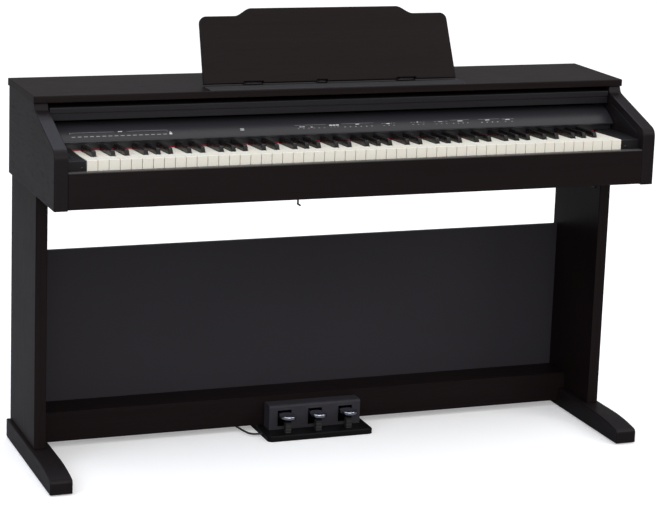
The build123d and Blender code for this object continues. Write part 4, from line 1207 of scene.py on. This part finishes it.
@dataclass
class KeyCover:
    """Sliding cover with a grooved front rail, and the shaft that keeps it level."""

    thickness: float = 0.012
    rail_thickness: float = 0.008
    groove_drop: float = 0.0145
    groove_tall: float = 0.0025
    knuckles: tuple[float, ...] = (-0.560, 0.0, 0.560)
    knuckle_width: float = 0.012

    def build(self) -> None:
        """Make the cover and dress its shaft, racks and bearings."""
        low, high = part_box("key_cover")
        front, back, top = low[1], high[1], high[2]
        rail_low = top - 0.028
        groove = top - self.groove_drop
        outline = rounded(
            ((front, top), (back, top), (back, top - self.thickness),
             (front + self.rail_thickness, top - self.thickness), (front + self.rail_thickness, rail_low),
             (front + 0.0012, rail_low), (front + 0.0012, groove), (front + 0.0026, groove),
             (front + 0.0026, groove + self.groove_tall), (front, groove + self.groove_tall)),
            (0.0022, 0.001, 0.001, 0.001, 0.001, 0.0012, 0.0005, 0.0004, 0.0004, 0.0008), 4)
        shape = Shape().skin(prism(outline, Axis.X, low[0], high[0], 0.0006, 2))
        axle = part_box("cover_shaft")
        axle_y, axle_z = (axle[0][1] + axle[1][1]) / 2, (axle[0][2] + axle[1][2]) / 2
        for place in self.knuckles:
            lug = rounded(((axle_y - 0.010, axle_z - 0.006), (axle_y + 0.008, axle_z - 0.006),
                           (axle_y + 0.008, top - 0.011), (axle_y - 0.010, top - 0.011)),
                          (0.004, 0.004, 0.0, 0.0), 4)
            half = self.knuckle_width / 2
            shape.skin(prism(lug, Axis.X, place - half, place + half, 0.0005, 1))
        shape.make("key_cover_board", Finishes.cover_wood, "cover", ("key_cover",))
        dress_nodes(Finishes.steel, "cover_shaft")
        dress_nodes(Finishes.frame_grey, "cover_racks", "cover_bearings")


# ---------------------------------------------------------------- music rest

@dataclass
class MusicRest:
    """Leaning board with a raised crown, its hinges and the ribbed ledge in front."""

    distance: float = 0.232
    bottom: float = 0.824
    lean: float = radians(23.5)
    half_bottom: float = 0.2985
    half_top: float = 0.293
    crown_half: float = 0.1726
    curve_half: float = 0.212
    shoulder_drop: float = 0.017
    corner: float = 0.016
    thickness: float = 0.009
    edge: float = 0.0016
    notches: tuple[tuple[float, float], ...] = ((-0.206, -0.161), (-0.036, -0.011), (0.155, 0.201))
    notch_tall: float = 0.0035

    def build(self) -> None:
        """Make the board and the ledge, and dress the hinges."""
        self.board()
        self.ledge()
        dress_nodes(Finishes.black_steel, "rest_hinge_bases", "rest_hinge_leaves")

    def half_outline(self, length: float) -> np.ndarray:
        """Right half of the outline, from the bottom edge up to the middle of the crown.

        The crown's flank eases from shoulder to crown as 3s^2 - 2s^3 of its rise.

        Args:
            length: height of the board along its own face.

        Returns:
            Points across and up the board.
        """
        shoulder = length - self.shoulder_drop
        turn = np.linspace(0.0, pi / 2, 8)
        slant = (self.half_top - self.half_bottom) / shoulder
        side_x = self.half_bottom + slant * (shoulder - self.corner)
        corner = np.stack((side_x - self.corner * (1 - np.cos(turn)),
                           shoulder - self.corner * (1 - np.sin(turn))), axis=1)
        share = np.linspace(0.0, 1.0, 14)
        flank = np.stack((self.curve_half + (self.crown_half - self.curve_half) * share,
                          shoulder + self.shoulder_drop * (3 * share ** 2 - 2 * share ** 3)), axis=1)
        return np.concatenate((((self.half_bottom, 0.0),), corner, flank))

    def board(self) -> None:
        """Board: the outline drawn out through its thickness with soft edges, then leaned back."""
        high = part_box("music_rest_board")[1]
        length = (high[2] - self.bottom) / cos(self.lean)
        right = self.half_outline(length)
        left = right[::-1] * np.array((-1.0, 1.0))
        foot = []
        for start, end in self.notches:
            foot += [(start, 0.0), (start, self.notch_tall), (end, self.notch_tall), (end, 0.0)]
        outline = np.concatenate((right, left, np.array(foot)))
        flat = prism(outline, Axis.Z, -self.thickness, 0.0, self.edge, 3)
        across, up, out = flat[..., 0], flat[..., 1], flat[..., 2]
        placed = np.stack((across, depth(self.distance) + up * sin(self.lean) - out * cos(self.lean),
                           self.bottom + up * cos(self.lean) + out * sin(self.lean)), axis=-1)
        Shape().skin(placed).make("music_rest_panel", Finishes.wood_across, "music_rest",
                                  ("music_rest_board",))

    def ledge(self) -> None:
        """Ledge with rounded ribs: its top is a low step plus narrow bumps cos^2 across each rib."""
        low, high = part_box("music_rest_ledge")
        distance = np.linspace(0.0, high[1] - low[1], 90)
        base = 0.0012 * np.minimum(1.0, np.minimum(distance / 0.0012, (distance[-1] - distance) / 0.0012))
        ribs = np.zeros_like(distance)
        for centre in (0.003, 0.008, 0.016, 0.022, 0.029, 0.036):
            near = np.clip(np.abs(distance - centre) / 0.0013, 0.0, 1.0)
            ribs = np.maximum(ribs, 0.0014 * np.cos(near * pi / 2) ** 2)
        top = np.stack((low[1] + distance, low[2] + base + ribs), axis=1)
        outline = np.concatenate((top, ((high[1], low[2] - 0.00001), (low[1], low[2] - 0.00001))))
        Shape().skin(prism(outline[::-1], Axis.X, low[0], high[0])).make(
            "music_ledge_ribbed", Finishes.ledge, nodes=("music_rest_ledge",), sharp=60)


# ---------------------------------------------------------------- stand

@dataclass
class Stand:
    """Legs, feet with rounded noses, beam, rear panel and brackets."""

    nose_start: float = 0.110
    nose_height: float = 0.033
    nose_setback: float = 0.021

    def build(self) -> None:
        """Make the legs and feet, and dress the rest."""
        for side in ("left", "right"):
            low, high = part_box(f"leg_{side}")
            Shape().board(low, high, 0.0016, Axis.Z, 3).make(
                f"leg_{side}_board", Finishes.wood_upright, nodes=(f"leg_{side}",))
            self.foot(f"foot_{side}")
        self.beam()
        dress_nodes(Finishes.pads, "foot_pads")
        dress_nodes(Finishes.board, "rear_panel")
        dress_nodes(Finishes.black_steel, "stand_brackets")
        dress_nodes(Finishes.steel, "assembly_screws")

    def foot(self, name: str) -> None:
        """Foot: its top falls away as the square of the distance to a rounded nose.

        Args:
            name: its node.
        """
        low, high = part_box(name)
        start = depth(self.nose_start)
        share = np.linspace(0.0, 1.0, 12)
        fall = np.stack((start + (low[1] - start) * share,
                         high[2] + (low[2] + self.nose_height - 0.002 - high[2]) * share ** 2), axis=1)
        corners = np.concatenate((((high[1], low[2]), (high[1], high[2])), fall, ((low[1], low[2]),)))
        setback = np.zeros(len(corners))
        setback[:2] = 0.003
        setback[-2], setback[-1] = self.nose_setback * 0.42, 0.003
        outline = rounded(corners, setback, 6)
        # Finished in the lighter, bluer copy of the wood, which paints the cool left light into the foot's
        # colour.
        Shape().skin(prism(outline, Axis.X, low[0], high[0], 0.0022, 3)).make(
            f"{name}_runner", Finishes.wood_backwards_painted_cool_light, nodes=(name,), sharp=60)

    def beam(self) -> None:
        """Beam keeps its own mesh, which has the openings for the feet and the pedal box."""
        dress_nodes(Finishes.wood_across, "stand_beam")


# ---------------------------------------------------------------- pedals

@dataclass
class PedalUnit:
    """Base plate, box, three polished pedals over their stop posts, and the cable to the cabinet."""

    neck_width: float = 0.028
    flare_start: float = 0.272
    rim: float = 0.0026
    wall: float = 0.0026
    dome: float = 0.0007
    cable_diameter: float = 0.0045
    cable_length: float = 1.076

    def build(self) -> None:
        """Make the pedals, posts and cable, and dress the housing."""
        for name in ("soft_pedal", "sostenuto_pedal", "damper_pedal"):
            self.pedal(name)
        self.posts()
        self.cable()
        dress_nodes(Finishes.base, "pedal_base_plate")
        dress_nodes(Finishes.box_grey, "pedal_box")
        dress_nodes(Finishes.steel, "pedal_pivot_rod")
        dress_nodes(Finishes.black, "cable_clips")

    def pedal(self, name: str) -> None:
        """Pedal: a round-nosed lever with a rolled rim and a slightly domed top.

        The plan is a half circle whose sides draw in to the narrow part inside the box. Rings start
        at the ceiling of the hollow underneath, go down to its rim, step up the skirt, roll over the
        edge on a quarter circle and climb the dome towards the middle.

        Args:
            name: its node and its body.
        """
        low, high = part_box(name)
        half = (high[0] - low[0]) / 2
        centre = (low[0] + high[0]) / 2
        turn = np.linspace(pi, 2 * pi, 22)
        nose_y = low[1] + half
        nose = np.stack((centre + half * np.cos(turn), nose_y + half * np.sin(turn)), axis=1)
        neck, flare = self.neck_width / 2, depth(self.flare_start)
        plan = np.concatenate((nose, ((centre + neck, flare), (centre + neck, high[1]),
                                      (centre - neck, high[1]), (centre - neck, flare))))
        shrink = inward(plan)
        roll = np.linspace(0.0, pi / 2, 7)
        tall = high[2] - low[2]
        levels = [(self.wall, tall - self.wall - 0.001), (self.wall, 0.0), (0.0012, 0.0), (0.0, 0.0010)]
        levels += [(self.rim * (1 - cos(angle)), tall - self.dome - self.rim * (1 - sin(angle)))
                   for angle in roll]
        levels += [(self.rim + 0.0012, tall - self.dome * 0.9),
                   (self.rim + 0.004, tall - self.dome * 0.3),
                   (self.rim + 0.0070, tall)]
        rings = np.empty((len(levels), len(plan), 3))
        for ring, (inset, rise) in zip(rings, levels):
            ring[:, :2] = plan + inset * shrink
            ring[:, 2] = low[2] + rise
        Shape().skin(rings).make(f"{name}_lever", Finishes.chrome, name, (name,), 60)

    def posts(self) -> None:
        """Square rubber posts with three shallow grooves round each."""
        low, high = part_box("pedal_posts")
        size = high[1] - low[1]
        tall = high[2] - low[2]
        rise = np.linspace(0.0, 1.0, 25)
        groove = 0.0006 * np.clip(np.sin(rise * 3 * 2 * pi), 0.0, 1.0) ** 2
        crown = np.where(rise > 0.97, 0.0012, 0.0)
        shape = Shape()
        for place in (low[0] + size / 2, (low[0] + high[0]) / 2, high[0] - size / 2):
            half = size / 2
            middle = (low[1] + high[1]) / 2
            plan = rounded(((place - half, middle - half), (place + half, middle - half),
                            (place + half, middle + half), (place - half, middle + half)), 0.0014, 3)
            shrink = inward(plan)
            rings = np.empty((len(rise), len(plan), 3))
            rings[..., :2] = plan[None] + (groove + crown)[:, None, None] * shrink[None]
            rings[..., 2] = (low[2] + rise * tall)[:, None]
            shape.skin(rings)
        shape.make("pedal_posts_rubber", Finishes.grips, nodes=("pedal_posts",))

    def route(self) -> list[tuple[float, float, float]]:
        """Control points of the cable: out of the base plate, under the beam and up the left leg."""
        return [
            (-0.1275, 0.0630, 0.0062), (-0.1520, 0.0630, 0.0062), (-0.1610, 0.0940, 0.0055),
            (-0.1660, 0.1320, 0.0050), (-0.1800, 0.1680, 0.0070), (-0.2080, 0.1910, 0.0200),
            (-0.2480, 0.1985, 0.0360), (-0.3000, 0.1990, 0.0460), (-0.3600, 0.1985, 0.0520),
            (-0.4200, 0.1990, 0.0590), (-0.4800, 0.1985, 0.0670), (-0.5370, 0.1990, 0.0800),
            (-0.5880, 0.1985, 0.1060), (-0.6190, 0.1990, 0.1500), (-0.6310, 0.1985, 0.2050),
            (-0.6340, 0.1990, 0.2650), (-0.6320, 0.1985, 0.3250), (-0.6350, 0.1990, 0.3850),
            (-0.6330, 0.1970, 0.4450), (-0.6310, 0.1910, 0.5030), (-0.6320, 0.1810, 0.5580),
            (-0.6320, 0.1810, 0.6110),
        ]

    def cable(self) -> None:
        """Pedal cable: one smooth spline over its route."""
        points = self.route()
        curve = bpy.data.curves.new("pedal_cable_jacket", "CURVE")
        curve.dimensions = "3D"
        curve.bevel_depth = self.cable_diameter / 2
        curve.bevel_resolution = 5
        curve.resolution_u = 10
        curve.use_fill_caps = True
        spline = curve.splines.new("NURBS")
        spline.points.add(len(points) - 1)
        for point, place in zip(spline.points, points):
            point.co = (*place, 1.0)
        spline.order_u = 3
        spline.use_endpoint_u = True
        curve.materials.append(Finishes.jacket.material())
        made = bpy.data.objects.new("pedal_cable_jacket", curve)
        bpy.context.scene.collection.objects.link(made)
        hang(made, "root", ("pedal_cable",))
        log.info("pedal_cable_jacket: %d control points", len(points))


# ---------------------------------------------------------------- studio

@dataclass
class Light:
    """One soft rectangular light."""

    name: str
    place: tuple[float, float, float]
    aim: tuple[float, float, float]
    size: tuple[float, float]
    power: float
    colour: Colour = (1.0, 1.0, 1.0)

    def build(self) -> None:
        """Hang the light and point it at its aim."""
        data = bpy.data.lights.new(self.name, "AREA")
        data.shape = "RECTANGLE"
        data.size, data.size_y = self.size
        data.energy = self.power
        data.color = self.colour
        lamp = bpy.data.objects.new(self.name, data)
        bpy.context.scene.collection.objects.link(lamp)
        across, back, up = (aim - place for aim, place in zip(self.aim, self.place))
        flat = (across ** 2 + back ** 2) ** 0.5
        lamp.location = self.place
        lamp.rotation_euler = (pi / 2 + atan2(up, flat), 0.0, atan2(back, across) - pi / 2)


@dataclass
class Studio:
    """Pale floor, soft light and the camera."""

    floor_reach: float = 60.0
    world_seen: float = 1.08
    world_light: float = 0.24
    camera_place: tuple[float, float, float] = (-1.777, -4.529, 1.620)
    camera_turn: tuple[float, float, float] = (78.262, -1.880, -20.315)
    lens: float = 122.7
    shift: tuple[float, float] = (0.0342, -0.121)

    def build(self) -> None:
        """Set up the studio."""
        self.floor()
        self.world()
        for light in self.lights():
            light.build()
        self.sun()
        self.camera()

    def floor(self) -> None:
        """Round floor under the piano: one thin disc."""
        rim = ((self.floor_reach, -0.02), (self.floor_reach, -0.0005))
        shape = Shape().skin(lathe((0.0, 0.0, 0.0), rim, 64))
        mesh = bpy.data.meshes.new("studio_floor")
        mesh.from_pydata(np.concatenate(shape.points).tolist(), [], shape.faces)
        mesh.materials.append(Finishes.floor.material())
        made = bpy.data.objects.new("studio_floor", mesh)
        bpy.context.scene.collection.objects.link(made)

    def world(self) -> None:
        """Even pale surroundings, dimmer for the light they give than where they are seen."""
        world = bpy.data.worlds.new("studio")
        bpy.context.scene.world = world
        world.use_nodes = True
        nodes, links = world.node_tree.nodes, world.node_tree.links
        nodes.clear()
        output = nodes.new("ShaderNodeOutputWorld")
        background = nodes.new("ShaderNodeBackground")
        path = nodes.new("ShaderNodeLightPath")
        spread = nodes.new("ShaderNodeMapRange")
        spread.inputs["To Min"].default_value = self.world_light
        spread.inputs["To Max"].default_value = self.world_seen
        links.new(path.outputs["Is Camera Ray"], spread.inputs["Value"])
        links.new(spread.outputs["Result"], background.inputs["Strength"])
        links.new(background.outputs[0], output.inputs["Surface"])

    def lights(self) -> list[Light]:
        """Large soft boxes: over the left shoulder, from the right, above, and in front."""
        return [
            Light("left_box", (-3.6, -1.8, 2.6), (0.0, 0.0, 0.6), (2.2, 2.0), 34.0, (0.72, 0.82, 1.0)),
            Light("right_box", (3.4, -2.4, 2.4), (0.0, 0.0, 0.6), (1.8, 1.8), 40.0, (1.0, 0.97, 0.93)),
            Light("top_box", (0.0, 1.6, 3.2), (0.0, 0.0, 0.7), (3.6, 1.6), 30.0, (0.70, 0.80, 1.0)),
            Light("front_box", (-0.8, -5.6, 2.0), (0.0, 0.0, 0.55), (4.5, 2.4), 100.0, (1.0, 0.98, 0.97)),
        ]

    def sun(self) -> None:
        """Broad, almost shadowless light that keeps the floor white."""
        data = bpy.data.lights.new("ceiling_glow", "SUN")
        data.energy = 2.3
        data.angle = radians(110)
        lamp = bpy.data.objects.new("ceiling_glow", data)
        lamp.rotation_euler = (radians(12), radians(-10), 0.0)
        bpy.context.scene.collection.objects.link(lamp)

    def camera(self) -> None:
        """Camera at the left, a little above the piano."""
        data = bpy.data.cameras.new("camera")
        data.lens = self.lens
        data.sensor_width = 36.0
        data.shift_x, data.shift_y = self.shift
        data.clip_end = 200.0
        made = bpy.data.objects.new("camera", data)
        made.location = self.camera_place
        made.rotation_euler = tuple(radians(angle) for angle in self.camera_turn)
        bpy.context.scene.collection.objects.link(made)
        bpy.context.scene.camera = made


def main() -> None:
    """Build the studio and every part of the piano."""
    logging.basicConfig(level=logging.INFO, format="%(name)s %(message)s")
    parts = (Studio(), PedalUnit(), Cabinet(), Keyboard(), ControlPanel(), KeyCover(), MusicRest(), Stand())
    for part in parts:
        part.build()
        log.info("%s is finished", type(part).__name__)
    bpy.context.scene.view_settings.view_transform = "Standard"


if __name__ == "__main__":
    main()
